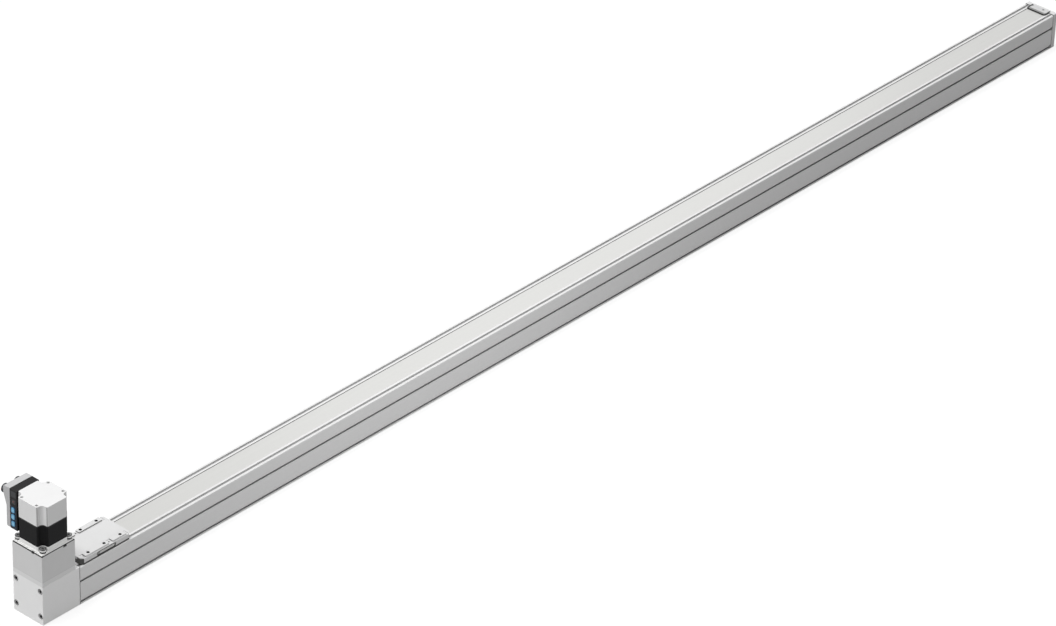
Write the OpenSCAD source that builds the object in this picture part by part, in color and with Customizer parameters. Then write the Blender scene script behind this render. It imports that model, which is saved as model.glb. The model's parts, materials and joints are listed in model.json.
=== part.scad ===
// Belt driven linear axis with an integrated motor.
// Origin: on the drive shaft's axis, level with the underside. +X runs along the travel, +Z is up.
// Y = 0 is the middle of the profile, and the belt runs on edge around two upright pulleys.

/* [Axis] */
// Working stroke of the slide
stroke = 2100; // [400:50:2600]
// Reserve past each end of the working stroke
stroke_reserve = 25; // [10:1:60]
// Width of the profile, the housings and the end cap
axis_w = 60; // [56:1:90]
// Height of the profile
profile_h = 64; // [60:0.5:90]

/* [Profile] */
// Thickness of the floor under the guide rail
floor_t = 8; // [7.5:0.5:10]
// Room between the belt's upper edge and the roof
roof_clear = 5.5; // [5.5:0.1:7]
// Half width of the belt space
belt_space = 17; // [16:0.5:20]
// Half width of the carriage space
block_space = 19; // [18:0.5:22]
// Width of the opening that the slide's neck runs in
opening_w = 25; // [21:0.5:27]
// Height of the lower side slot's middle
slot_low_z = 5.1; // [4.6:0.1:6]
// Height of the upper side slot's middle
slot_high_z = 40; // [36:0.5:46]
// Opening of a side slot
slot_open = 3.6; // [3:0.1:3.9]
// Inner width of a side slot
slot_inner = 6.4; // [5:0.1:7]
// Depth of a side slot
slot_depth = 5; // [4:0.1:6]
// Thickness of a slot's lips
slot_lip = 1.6; // [1:0.1:2]
// Length of the widened entry at the far end of a side slot
slot_entry = 4.5; // [3:0.1:8]
// Distance of the top groove's middle from the side
groove_inset = 5.7; // [5:0.1:7]
// Width of the top groove
groove_w = 4.4; // [3:0.1:5]
// Depth of the top groove
groove_depth = 3.8; // [1:0.1:4]
// Distance of the end screws from the profile's middle plane
end_screw_y = 24.8; // [23:0.1:36]
// Height of the lower end screws
end_screw_low = 13.5; // [12:0.1:16]
// Distance of the upper end screws below the profile's top
end_screw_drop = 7.8; // [7:0.1:9]

/* [Cover band] */
// Width of the steel cover band
band_w = 36; // [30:0.5:40]
// Thickness of the cover band
band_t = 0.5; // [0.3:0.1:0.8]
// Depth of the band's top below the profile's top
band_sink = 0.7; // [0.4:0.1:1]
// Width of one magnet strip
magnet_w = 3.6; // [3:0.1:4]
// Thickness of one magnet strip
magnet_t = 1.8; // [1:0.1:2.4]
// Height of the band's hump inside the slide
hump_h = 6.4; // [5.5:0.1:8]
// Length of each ramp of the hump
hump_ramp = 18; // [14:0.5:24]

/* [Drive] */
// Teeth of the drive pulley and the idler pulley
pulley_teeth = 26; // [22:1:28]
// Pitch of the belt's teeth
belt_pitch = 3; // [3:0.1:3.2]
// Width of the belt
belt_w = 16; // [12:0.5:18]
// Thickness of the belt behind its teeth
belt_t = 1.2; // [0.8:0.1:1.5]
// Depth of the pitch line in the belt
pitch_depth = 0.38; // [0.2:0.01:0.5]
// Height of the belt's lower edge over the carriage block
belt_rise = 7.5; // [7:0.5:10]
// Rim height of a pulley's flanges over the pulley's teeth
flange_rise = 2.1; // [1.6:0.1:2.6]
// Thickness of a pulley's flange
flange_t = 1.2; // [0.8:0.1:1.6]
// Diameter of the drive shaft
shaft_d = 12; // [8:0.5:14]
// Outer diameter of the drive shaft's bearings
bearing_d = 28; // [24:0.5:29]
// Width of the drive shaft's bearings
bearing_w = 8; // [6:0.5:9]
// Length of the drive housing
house_l = 73; // [64:1:90]
// Distance from the drive housing's end face to the drive shaft
house_back = 32; // [30:1:40]
// Height of the drive housing and the end cap over the underside
house_rise = 1.6; // [1:0.1:3]
// Thickness of the neck between the drive housing and the coupling housing
neck_t = 7.5; // [5:0.1:10]
// Height of the coupling housing
tower_h = 45.4; // [44:0.1:60]
// Bore of the coupling housing
tower_bore = 42; // [38:0.5:46]
// Diameter of the coupling
coupling_d = 30; // [24:0.5:34]
// Length of one coupling hub without its jaws
hub_l = 13.5; // [10:0.5:16]
// Height of the coupling's jaws
jaw_h = 7; // [5:0.5:9]

/* [Motor] */
// Width of the motor
motor_w = 60; // [57:0.5:62]
// Half of the spacing of the motor's screws
motor_bolt = 25; // [23:0.1:26]
// Radius of the corner notches that the screws stand in
notch_r = 5.8; // [5.5:0.1:7]
// Thickness of the motor's flange plate
flange_plate_t = 2.5; // [2:0.1:4]
// Height of the motor's front shield over the flange plate
shield_h = 7.4; // [6.5:0.1:10]
// Height of the stator
stator_h = 33.1; // [20:0.1:60]
// Height of the motor's lid
lid_h = 33.9; // [30:0.1:44]
// Diameter of the motor's shaft
motor_shaft_d = 10; // [8:0.5:10]
// Diameter of the rotor
rotor_d = 33; // [28:0.5:34]
// Running gap between the rotor and the stator
rotor_gap = 0.4; // [0.3:0.1:0.6]

/* [Slide] */
// Length of the slide's body
slide_l = 88; // [86:1:120]
// Gap between the drive housing and the slide's end piece at rest
slide_gap = 4.6; // [4.4:0.1:20]
// Width of the slide
slide_w = 58.8; // [56:0.1:80]
// Height of the slide's underside over the profile
slide_clear = 1.5; // [1:0.1:2]
// Height of the slide's side rails over the profile
slide_rail_h = 11; // [10.5:0.1:14]
// Height of the mounting pads over the side rails
pad_h = 2.3; // [1.5:0.1:3]
// Height of the slide's cover over the side rails
slide_cover_rise = 0.4; // [0:0.1:1.4]
// Spacing of the fixing holes along the slide
hole_pitch = 31.5; // [28:0.5:34]
// Distance of the fixing holes from the slide's middle plane
hole_y = 24.3; // [23:0.1:26]
// Core diameter of the fixing threads
hole_d = 4.2; // [3.3:0.1:5]
// Distance of the pin holes from the slide's middle
pin_x = 9.3; // [8:0.1:10]
// Diameter of the pin holes
pin_d = 2.5; // [2:0.1:4]
// Half width of the slide's neck
neck_half = 9.5; // [7:0.1:10]
// Half length of the slide's neck
neck_len = 22; // [18:0.5:23]
// Length of the wipers at the slide's ends
wiper_t = 4.4; // [3:0.1:8]
// Cut across the outer corners of the wipers
wiper_cut = 4; // [1:0.1:6]
// Length of the pocket in the slide's side
side_pocket_l = 38; // [30:0.5:40]
// Height of the pocket in the slide's side
side_pocket_h = 6.4; // [4:0.1:7]
// Depth of the pocket in the slide's side
side_pocket_depth = 1.8; // [1.2:0.1:2]

/* [Guide] */
// Width of the guide rail
rail_w = 15; // [12:0.5:16]
// Height of the guide rail
rail_h = 10; // [9:0.5:11]
// Spacing of the guide rail's screws
rail_pitch = 100; // [60:5:200]
// Width of the carriage block
block_w = 32; // [30:0.5:34]
// Height of the carriage block's top over the rail's seat
block_h = 16; // [15:0.5:18]
// Length of the carriage block's steel body
block_l = 48; // [40:1:60]
// Length of one end cap of the carriage block
block_cap_l = 9; // [6:0.5:12]
// Radius of the carriage's balls
ball_r = 1.5; // [1:0.1:1.6]

/* [Far end] */
// Distance from the slide's body to the idler's axis at full travel
idler_gap = 25.4; // [24:0.1:40]
// Distance from the idler's axis to the profile's end
idler_back = 23; // [22:0.5:40]
// Thickness of the end cap
cap_t = 10.6; // [9:0.1:16]
// Diameter of the idler's axle
axle_d = 8; // [6:0.5:10]

/* [Controller] */
// Length of the controller along X
ctrl_l = 43.5; // [42:0.5:60]
// Depth of the controller's black housing
ctrl_d = 14.2; // [12:0.1:20]
// Height of the controller
ctrl_h = 66.5; // [62:0.5:80]
// Depth of the controller's cover over its lower part
ctrl_cover_d = 7; // [5:0.1:12]
// Depth of the controller's cover at its connectors
ctrl_bulge_d = 13; // [9:0.1:18]
// Wall of the controller's housing and cover
ctrl_wall = 2.5; // [2:0.1:3]
// Diameter of a connector's shell
plug_d = 13.6; // [12:0.1:15]
// Spacing of the two connectors
plug_pitch = 24; // [18:0.5:26]
// Height of the connectors below the controller's top
plug_drop = 10.2; // [9:0.1:14]
// Length of a connector outside the cover
plug_l = 5; // [4:0.5:14]
// Width of a key
key_w = 6.6; // [5:0.1:7]
// Height of a key
key_h = 8; // [6:0.1:9]
// Spacing of the keys
key_pitch = 11.4; // [10:0.1:13]
// Travel of a key
key_travel = 0.6; // [0.3:0.1:0.8]

/* [Hidden] */

fit = 0.1;
play = 0.3;
run_fit = 0.05;
band_play = 0.5;
round_fn = 48;
eps = 0.01;

// Stations along X
house_x0 = -house_back;
house_x1 = house_x0 + house_l;
slide_x0 = house_x1 + slide_gap + wiper_t;
slide_x1 = slide_x0 + slide_l;
slide_cx = (slide_x0 + slide_x1) / 2;
travel = stroke + 2 * stroke_reserve;
idler_x = slide_x1 + travel + idler_gap;
profile_x1 = idler_x + idler_back;
profile_l = profile_x1 - house_x1;
axis_x1 = profile_x1 + cap_t;

// Levels
house_h = profile_h + house_rise;
rail_top = floor_t + rail_h;
block_top = floor_t + block_h;
band_top = profile_h - band_sink;
band_z = band_top - band_t;
magnet_z = band_z - magnet_t;
neck_z = house_h;
tower_z = neck_z + neck_t;
motor_z = tower_z + tower_h;
shield_z = motor_z + flange_plate_t;
stator_z = shield_z + shield_h;
lid_z = stator_z + stator_h;
motor_top = lid_z + lid_h;

// Belt and pulleys
pitch_r = pulley_teeth * belt_pitch / (2 * PI);
tooth_r = pitch_r - pitch_depth;
belt_in = tooth_r + fit;
belt_out = belt_in + belt_t;
flange_r = tooth_r + flange_rise;
belt_z = block_top + belt_rise;
belt_top = belt_z + belt_w;
roof_z = belt_top + roof_clear;
pulley_z0 = belt_z - 0.5;
pulley_z1 = belt_top + 0.5;
chamber_r = flange_r + 0.8;

// Shaft, bearings and coupling
lower_bearing_z = pulley_z0 - flange_t - 4 - bearing_w;
upper_bearing_z = pulley_z1 + flange_t + 3.6;
spigot_z = upper_bearing_z - 1;
hub_z = tower_z + 3;
jaw_z = hub_z + hub_l;
upper_hub_z = jaw_z + jaw_h + 0.5;
coupling_end = upper_hub_z + hub_l;

// ---------- Shared shapes ----------

module box(x0, x1, y0, y1, z0, z1) {
    translate([x0, y0, z0])
        cube([x1 - x0, y1 - y0, z1 - z0]);
}

// A box that is symmetric about Y = 0
module middle_box(x0, x1, half, z0, z1) {
    box(x0, x1, -half, half, z0, z1);
}

module rounded_plate(l, w, h, r) {
    linear_extrude(h)
        union() {
            square([l - 2 * r, w], center = true);
            square([l, w - 2 * r], center = true);
            for (x = [-1, 1], y = [-1, 1])
                translate([x * (l / 2 - r), y * (w / 2 - r)])
                    circle(r, $fn = 32);
        }
}

// A YZ section, drawn as [y, z], pulled along +X
module along_x(x0, l) {
    translate([x0, 0, 0])
        rotate([90, 0, 90])
            linear_extrude(l)
                children();
}

// An XZ section, drawn as [x, z], pulled along Y from y0 to y1
module along_y(y0, y1) {
    translate([0, y1, 0])
        rotate([90, 0, 0])
            linear_extrude(y1 - y0)
                children();
}

module post(x, y, z, d, h) {
    translate([x, y, z])
        cylinder(d = d, h = h, $fn = round_fn);
}

module bar_x(x, y, z, d, l) {
    translate([x, y, z])
        rotate([0, 90, 0])
            cylinder(d = d, h = l, $fn = round_fn);
}

module bar_y(x, y, z, d, l) {
    translate([x, y, z])
        rotate([-90, 0, 0])
            cylinder(d = d, h = l, $fn = round_fn);
}

module ring(d_out, d_in, h) {
    difference() {
        cylinder(d = d_out, h = h, $fn = round_fn);
        translate([0, 0, -1])
            cylinder(d = d_in, h = h + 2, $fn = round_fn);
    }
}

// A socket head screw with its head's top at the origin and its shank along -Z
module socket_screw(head_d, head_h, shank_d, shank_l, key) {
    difference() {
        translate([0, 0, -head_h])
            cylinder(d = head_d, h = head_h, $fn = 32);
        translate([0, 0, -head_h * 0.55])
            cylinder(d = key * 2 / sqrt(3), h = head_h, $fn = 6);
    }
    translate([0, 0, -head_h - shank_l])
        cylinder(d = shank_d, h = shank_l + eps, $fn = 32);
}

// ---------- Profile ----------

groove_y = axis_w / 2 - groove_inset;
chamber_y0 = belt_space + 3.5;
chamber_y1 = axis_w / 2 - 3;
end_screws_z = [end_screw_low, profile_h - end_screw_drop];
end_hole = 5.2;

edge_cut = 0.8;
seam_w = 1.2;
seam_depth = 0.8;

// The outline of the profile, the drive housing or the end cap, with its corners cut
module cut_corners(h, w = axis_w / 2) {
    polygon([
        [edge_cut - w, 0], [w - edge_cut, 0], [w, edge_cut], [w, h - edge_cut],
        [w - edge_cut, h], [edge_cut - w, h], [-w, h - edge_cut], [-w, edge_cut]
    ]);
}

module profile_section() {
    difference() {
        cut_corners(profile_h);
        translate([-block_space, floor_t])
            square([2 * block_space, 19]);
        translate([-belt_space, floor_t + 10])
            square([2 * belt_space, roof_z - floor_t - 10]);
        translate([-opening_w / 2, roof_z - 1])
            square([opening_w, profile_h - roof_z + 2]);
        translate([-band_w / 2 - band_play, band_z])
            square([band_w + 2 * band_play, profile_h]);
        for (s = [-1, 1]) {
            translate([s * (opening_w / 2 + 0.9 + magnet_w / 2), magnet_z])
                translate([-magnet_w / 2 - 0.05, 0])
                    square([magnet_w + 0.1, magnet_t + 1]);
            translate([s * groove_y, profile_h])
                polygon([
                    [-groove_w / 2, 1], [-groove_w / 2, -groove_depth * 0.6],
                    [-groove_w / 4, -groove_depth], [groove_w / 4, -groove_depth],
                    [groove_w / 2, -groove_depth * 0.6], [groove_w / 2, 1]
                ]);
            for (z = [slot_low_z, slot_high_z])
                translate([s * axis_w / 2, z])
                    side_slot_section();
            for (z = end_screws_z)
                translate([s * end_screw_y, z])
                    circle(d = end_hole, $fn = 32);
            translate([s > 0 ? chamber_y0 : -chamber_y1, end_screw_low + 6])
                square([chamber_y1 - chamber_y0, slot_high_z - end_screw_low - 12]);
        }
    }
}

module side_slot_section() {
    square([2 * slot_depth - 1, slot_open], center = true);
    for (s = [-1, 1])
        translate([s * (slot_lip + (slot_depth - slot_lip) / 2), 0])
            square([slot_depth - slot_lip, slot_inner], center = true);
}

module profile() {
    color("lightgray")
        difference() {
            along_x(house_x1, profile_l)
                profile_section();
            for (s = [-1, 1], z = [slot_low_z, slot_high_z])
                translate([profile_x1 - slot_entry, s * axis_w / 2 - slot_depth / 2, z - slot_inner / 2])
                    cube([slot_entry + 1, slot_depth, slot_inner]);
        }
}

// ---------- Drive housing, neck and coupling housing ----------

screw_head = 8.6;
screw_head_h = 5;
end_shank = 5;
clamp_l = 6.6;
near_nose = 0.2;
far_nose = 4.8;
clamp_half = band_w / 2 + 1.8;
clamp_top = house_h;
clamp_z = band_top + fit;
clamp_step = 3;
clamp_under = profile_h + 0.6;
clamp_screw_y = [-16.6, 6.5];

module end_screw_holes(x0, x1, head_x0, head_x1) {
    for (s = [-1, 1], z = end_screws_z) {
        bar_x(x0 - 1, s * end_screw_y, z, end_hole + 0.3, x1 - x0 + 2);
        bar_x(head_x0, s * end_screw_y, z, screw_head + 1, head_x1 - head_x0);
    }
}

// The pocket that a band clamp and the band's end lie in, seen from the profile's end at X = 0
module clamp_pocket() {
    middle_box(-1, clamp_l + fit, clamp_half + fit, band_z - fit, house_h + 1);
    for (y = clamp_screw_y)
        post(clamp_step, y, band_z - 9, 2.5, 10);
}

module drive_housing() {
    color("silver")
        difference() {
            union() {
                along_x(house_x0, house_l - seam_w)
                    cut_corners(house_h);
                along_x(house_x0, house_l)
                    cut_corners(house_h - seam_depth, axis_w / 2 - seam_depth);
            }
            post(0, 0, pulley_z0 - flange_t - 1, 2 * chamber_r, house_h);
            middle_box(0, house_x1 + 1, belt_out + 1.2, belt_z - 1, belt_top + 1);
            post(0, 0, lower_bearing_z, bearing_d, bearing_w + 20);
            post(0, 0, lower_bearing_z - 3, shaft_d + 4, bearing_w);
            translate([house_x1, 0, 0])
                mirror([1, 0, 0])
                    clamp_pocket();
            end_screw_holes(house_x0, house_x1, house_x0 - 1, house_x0 + screw_head_h + 0.6);
        }
}

module housing_screws() {
    color("dimgray")
        for (s = [-1, 1], z = end_screws_z)
            translate([house_x0 + 0.6, s * end_screw_y, z])
                rotate([0, -90, 0])
                    socket_screw(screw_head, screw_head_h, end_shank, house_l + 12, 4);
}

neck_screw = motor_bolt - 1;

module neck_plate() {
    color("gainsboro")
        difference() {
            union() {
                middle_box(house_x0, -house_x0, axis_w / 2, neck_z, tower_z);
                post(0, 0, spigot_z, 2 * chamber_r - 2 * fit, neck_z - spigot_z + 1);
            }
            post(0, 0, spigot_z - 1, bearing_d, bearing_w + 2);
            post(0, 0, spigot_z, shaft_d + 3, tower_z);
            for (x = [-1, 1], y = [-1, 1])
                post(x * neck_screw, y * neck_screw, neck_z - 1, 4.4, neck_t + 2);
        }
}

pry_w = 3;
pry_h = 2.4;
pry_x = 13;
pry_y = -11.4;

module coupling_housing() {
    color("darkgray")
        difference() {
            union() {
                middle_box(house_x0, -house_x0, axis_w / 2, tower_z, motor_z - seam_w);
                middle_box(house_x0 + seam_depth, -house_x0 - seam_depth, axis_w / 2 - seam_depth,
                    tower_z, motor_z);
            }
            post(0, 0, tower_z - 1, tower_bore, tower_h + 2);
            for (x = [-1, 1], y = [-1, 1]) {
                post(x * motor_bolt, y * motor_bolt, motor_z - 16, 4.4, 17);
                post(x * neck_screw, y * neck_screw, tower_z - 1, 3.6, 13);
            }
            translate([house_x0, pry_y, motor_z])
                cube([2, pry_w, 2 * pry_h], center = true);
            translate([pry_x, -axis_w / 2, motor_z])
                cube([pry_w, 2, 2 * pry_h], center = true);
        }
}

// ---------- Motor ----------

front_bearing_d = 26;
front_bearing_w = 7;
rear_bearing_d = 22;
rear_bearing_w = 7;
winding_out = 50;
winding_in = 36;
winding_h = 3.4;
motor_screw_head = 9.6;
motor_screw_h = 6;
rotor_z = stator_z + 2;
rotor_h = stator_h - 4;
front_bearing_z = shield_z + shield_h - front_bearing_w;
rear_bearing_z = lid_z + 1;
shaft_top = lid_z + 18.5;
magnet_disc_t = 3;
lid_wall = 4;
lid_screw_x = 25.4;
lid_screw_y = 15;
notch_cut = 2;

// The motor's square outline with a concave notch at each corner
module motor_outline() {
    difference() {
        square(motor_w - 1, center = true);
        for (x = [-1, 1], y = [-1, 1])
            translate([x * motor_bolt, y * motor_bolt]) {
                circle(notch_r, $fn = 32);
                translate([x > 0 ? 0 : -notch_r - 3, y > 0 ? 0 : -notch_r - 3])
                    square(notch_r + 3);
                translate([x > 0 ? 0 : -notch_r - 3, -notch_r])
                    square([notch_r + 3, 2 * notch_r]);
                translate([-notch_r, y > 0 ? 0 : -notch_r - 3])
                    square([2 * notch_r, notch_r + 3]);
            }
        for (x = [-1, 1], y = [-1, 1]) {
            notch_edge(x * (motor_w - 1) / 2, y * (motor_bolt - notch_r));
            notch_edge(x * (motor_bolt - notch_r), y * (motor_w - 1) / 2);
        }
    }
}

module notch_edge(x, y) {
    translate([x, y])
        rotate(45)
            square(notch_cut, center = true);
}

module motor_flange() {
    color("silver")
        difference() {
            union() {
                translate([0, 0, motor_z])
                    rounded_plate(motor_w, motor_w, flange_plate_t, 2);
                translate([0, 0, shield_z])
                    linear_extrude(shield_h)
                        motor_outline();
            }
            post(0, 0, motor_z - 1, motor_shaft_d + 6, 20);
            post(0, 0, front_bearing_z, front_bearing_d, 20);
            translate([0, 0, stator_z - winding_h - 0.4])
                ring(winding_out + 1, winding_in - 1, 10);
            for (x = [-1, 1], y = [-1, 1])
                post(x * motor_bolt, y * motor_bolt, motor_z - 1, 5.3, 5);
        }
}

module motor_screws() {
    color("gray")
        for (x = [-1, 1], y = [-1, 1])
            translate([x * motor_bolt, y * motor_bolt, shield_z + motor_screw_h])
                socket_screw(motor_screw_head, motor_screw_h, 4.2, flange_plate_t + 12, 4);
}

module motor_stator() {
    color("#262626")
        translate([0, 0, stator_z])
            difference() {
                linear_extrude(stator_h)
                    motor_outline();
                translate([0, 0, -1])
                    cylinder(d = rotor_d + 2 * rotor_gap, h = stator_h + 2, $fn = round_fn);
            }
}

module motor_windings() {
    color("peru")
        for (z = [stator_z - winding_h, lid_z])
            translate([0, 0, z])
                ring(winding_out, winding_in, winding_h);
}

module motor_lid() {
    color("gainsboro")
        difference() {
            translate([0, 0, lid_z])
                linear_extrude(lid_h)
                    motor_outline();
            post(0, 0, lid_z - 1, motor_shaft_d + 5, 14);
            post(0, 0, rear_bearing_z - 2, rear_bearing_d, rear_bearing_w + 2);
            translate([0, 0, lid_z - 1])
                ring(winding_out + 1, winding_in - 1, winding_h + 1.4);
            post(0, 0, lid_z + 11, 46, lid_h - 11 - lid_wall);
            for (x = [-1, 1], y = [-1, 1]) {
                post(x * lid_screw_x, y * lid_screw_y, motor_top - 3, 4.6, 4);
                post(x * lid_screw_x, y * lid_screw_y, motor_top - 14, 2.2, 12);
            }
        }
}

module lid_screws() {
    color("dimgray")
        for (x = [-1, 1], y = [-1, 1])
            translate([x * lid_screw_x, y * lid_screw_y, motor_top - 0.4])
                socket_screw(4.4, 2.6, 2, 10, 2);
}

module motor_bearings() {
    color("lightsteelblue") {
        translate([0, 0, front_bearing_z])
            ring(front_bearing_d, motor_shaft_d + 2 * run_fit, front_bearing_w);
        translate([0, 0, rear_bearing_z])
            ring(rear_bearing_d, motor_shaft_d + 2 * run_fit, rear_bearing_w);
    }
}

module encoder_board() {
    color("green")
        translate([0, 0, shaft_top + magnet_disc_t + 1.6])
            cylinder(d = 46 - 2 * fit, h = 1.6, $fn = round_fn);
}

module rotor() {
    color("gray")
        translate([0, 0, rotor_z])
            ring(rotor_d, motor_shaft_d + 2 * run_fit, rotor_h);
}

module motor_shaft() {
    color("lightsteelblue")
        post(0, 0, upper_hub_z + 1, motor_shaft_d, shaft_top - upper_hub_z - 1);
}

module encoder_magnet() {
    color("black")
        post(0, 0, shaft_top, 8, magnet_disc_t);
}

// ---------- Coupling, shaft and pulleys ----------

jaw_in = 9.5;
arm_angle = 20;
jaw_gap = 1;

// A hub with its three jaws on top, starting at an angle
module coupling_hub(bore, start) {
    gap = 30 + arm_angle / 2 + jaw_gap;
    reach = coupling_d;
    difference() {
        ring(coupling_d, bore, hub_l + jaw_h);
        translate([0, 0, hub_l])
            linear_extrude(jaw_h + 1)
                union() {
                    circle(jaw_in, $fn = round_fn);
                    for (i = [0:2])
                        rotate(start + i * 120 - 30)
                            polygon([
                                [0, 0], [reach * cos(gap), -reach * sin(gap)], [reach, 0],
                                [reach * cos(gap), reach * sin(gap)]
                            ]);
                }
    }
}

module coupling_hub_lower() {
    color("lightgray")
        translate([0, 0, hub_z])
            coupling_hub(shaft_d + 2 * run_fit, 0);
}

module coupling_hub_upper() {
    color("lightgray")
        translate([0, 0, coupling_end])
            mirror([0, 0, 1])
                coupling_hub(motor_shaft_d + 2 * run_fit, 60);
}

module coupling_spider() {
    color("firebrick")
        translate([0, 0, jaw_z + 0.3]) {
            ring(2 * jaw_in - 0.6, 2 * jaw_in - 5, jaw_h - 0.2);
            for (i = [0:5])
                rotate(i * 60 - arm_angle / 2)
                    rotate_extrude(angle = arm_angle, $fn = round_fn)
                        translate([jaw_in - 1, 0])
                            square([coupling_d / 2 - jaw_in + 0.6, jaw_h - 0.2]);
        }
}

module drive_shaft() {
    color("lightsteelblue")
        post(0, 0, lower_bearing_z - 2, shaft_d, jaw_z - lower_bearing_z);
}

module shaft_bearings() {
    color("lightsteelblue")
        for (z = [lower_bearing_z, upper_bearing_z])
            translate([0, 0, z])
                ring(bearing_d, shaft_d + 2 * run_fit, bearing_w);
}

module pulley(bore) {
    difference() {
        union() {
            translate([0, 0, pulley_z0 - flange_t])
                cylinder(r = flange_r, h = flange_t, $fn = round_fn);
            translate([0, 0, pulley_z0 - eps])
                linear_extrude(pulley_z1 - pulley_z0 + 2 * eps)
                    difference() {
                        circle(tooth_r, $fn = 96);
                        for (i = [0:pulley_teeth - 1])
                            rotate(i * 360 / pulley_teeth)
                                translate([tooth_r - 0.1, 0])
                                    circle(0.95, $fn = 24);
                    }
            translate([0, 0, pulley_z1])
                cylinder(r = flange_r, h = flange_t, $fn = round_fn);
        }
        post(0, 0, pulley_z0 - flange_t - 1, bore, pulley_z1 - pulley_z0 + 2 * flange_t + 2);
    }
}

module drive_pulley() {
    color("gainsboro")
        pulley(shaft_d + 2 * run_fit);
}

module toothed_belt() {
    color("#303030")
        translate([0, 0, belt_z])
            linear_extrude(belt_w)
                difference() {
                    belt_outline(belt_out);
                    belt_outline(belt_in);
                }
}

module belt_outline(r) {
    circle(r, $fn = 96);
    translate([idler_x, 0])
        circle(r, $fn = 96);
    translate([0, -r])
        square([idler_x, 2 * r]);
}

// ---------- Guide rail ----------

rail_x0 = house_x1 + 1;
rail_x1 = idler_x - 17;
groove_z = floor_t + 6.6;
rail_screws_n = floor((rail_x1 - rail_x0 - 20) / rail_pitch);
rail_first = (rail_x0 + rail_x1 - rail_screws_n * rail_pitch) / 2;

module guide_rail() {
    color("lightsteelblue")
        difference() {
            along_x(rail_x0, rail_x1 - rail_x0)
                difference() {
                    translate([-rail_w / 2, floor_t])
                        square([rail_w, rail_h]);
                    for (s = [-1, 1]) {
                        translate([s * (rail_w / 2 + 0.4), groove_z])
                            circle(ball_r + play, $fn = 32);
                        translate([s * rail_w / 2, floor_t + 2.2])
                            rotate(45)
                                square(1.6, center = true);
                    }
                }
            for (i = [0:rail_screws_n]) {
                post(rail_first + i * rail_pitch, 0, floor_t - 1, 4.5, rail_h + 2);
                post(rail_first + i * rail_pitch, 0, rail_top - 4.6, 7.6, 6);
            }
        }
}

module rail_screws() {
    color("dimgray")
        for (i = [0:rail_screws_n])
            translate([rail_first + i * rail_pitch, 0, rail_top - 0.4])
                cylinder_screw();
}

module cylinder_screw() {
    translate([0, 0, -4])
        cylinder(d = 7, h = 4, $fn = 32);
    translate([0, 0, -rail_h + 0.4])
        cylinder(d = 4, h = rail_h - 4, $fn = 32);
}

// ---------- Cover band ----------

band_half = band_w / 2;
band_x0 = house_x1 - clamp_l + 1;
band_x1 = profile_x1 + clamp_l - 1;
hump_top = neck_len + 1;
hump_steps = 10;

// Height of the hump at a distance from the slide's middle
function hump(d) = hump_h * (1 + cos(180 * (d - hump_top) / hump_ramp)) / 2;

// Points of the hump's line at a height, over the ramp on the +X side
function ramp_points(z) =
    [for (i = [0:hump_steps]) let (d = hump_top + hump_ramp * i / hump_steps) [d, z + hump(d)]];

function mirrored(points) = [for (i = [len(points) - 1:-1:0]) [-points[i][0], points[i][1]]];

module cover_band() {
    top = [for (p = concat(mirrored(ramp_points(band_top)), ramp_points(band_top))) [p[0] + slide_cx, p[1]]];
    low = [for (p = top) [p[0], p[1] - band_t]];
    low_back = [for (i = [len(low) - 1:-1:0]) low[i]];
    color("lightgray")
        difference() {
            along_y(-band_half, band_half)
                polygon(concat(
                    [[band_x0, band_top]], top, [[band_x1, band_top], [band_x1, band_z]],
                    low_back, [[band_x0, band_z]]
                ));
            for (y = clamp_screw_y) {
                post(house_x1 - clamp_step, y, band_z - 1, 3, 3);
                post(profile_x1 + clamp_step, -y, band_z - 1, 3, 3);
            }
        }
}

module magnet_strips() {
    color("#404040")
        for (s = [-1, 1])
            translate([house_x1 + 1, s * (opening_w / 2 + 0.9 + magnet_w / 2) - magnet_w / 2, magnet_z])
                cube([profile_l - 2, magnet_w, magnet_t]);
}

module clamp_section(nose, z) {
    polygon([
        [clamp_l, z], [clamp_l, clamp_top], [-nose + 0.8, clamp_top],
        [-nose - 3.6, clamp_under + 0.5], [-nose - 3.6, clamp_under], [0, clamp_under], [0, z]
    ]);
}

// A clamp over the band's end, seen from the profile's end at X = 0, with its nose over the profile
module band_clamp(nose) {
    difference() {
        union() {
            along_y(-clamp_half, clamp_half)
                clamp_section(nose, profile_h + fit);
            along_y(-band_half, band_half)
                clamp_section(nose, clamp_z);
        }
        for (y = clamp_screw_y) {
            post(clamp_step, y, clamp_z - 1, 2.6, 4);
            post(clamp_step, y, clamp_top - 1.2, 4.2, 3);
        }
    }
}

module band_clamp_near() {
    color("silver")
        translate([house_x1, 0, 0])
            mirror([1, 0, 0])
                band_clamp(near_nose);
}

module band_clamp_far() {
    color("silver")
        translate([profile_x1, 0, 0])
            mirror([0, 1, 0])
                band_clamp(far_nose);
}

module clamp_screws() {
    color("dimgray")
        for (y = clamp_screw_y) {
            translate([house_x1 - clamp_step, y, clamp_top - 0.2])
                socket_screw(4, 1, 2.3, 8, 2);
            translate([profile_x1 + clamp_step, -y, clamp_top - 0.2])
                socket_screw(4, 1, 2.3, 8, 2);
        }
}

// ---------- Buffers, end cap and idler ----------

carriage_half = block_l / 2 + block_cap_l;
buffer_y = rail_w / 2 + 5;
buffer_z = floor_t + 9.5;
buffer_d = 8;
idler_front = idler_x - 15;
idler_half = belt_space - 0.4;
idler_rear = profile_x1 - 3;
tension_y = 10;
idler_low = pulley_z0 - flange_t;
idler_high = pulley_z1 + flange_t;
tension_z = 20;
idler_hold = 12;

module buffer(x0, x1) {
    color("#202020")
        for (s = [-1, 1])
            bar_x(x0, s * buffer_y, buffer_z, buffer_d, x1 - x0);
}

module buffer_near() {
    buffer(house_x1, slide_cx - carriage_half - play);
}

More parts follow.
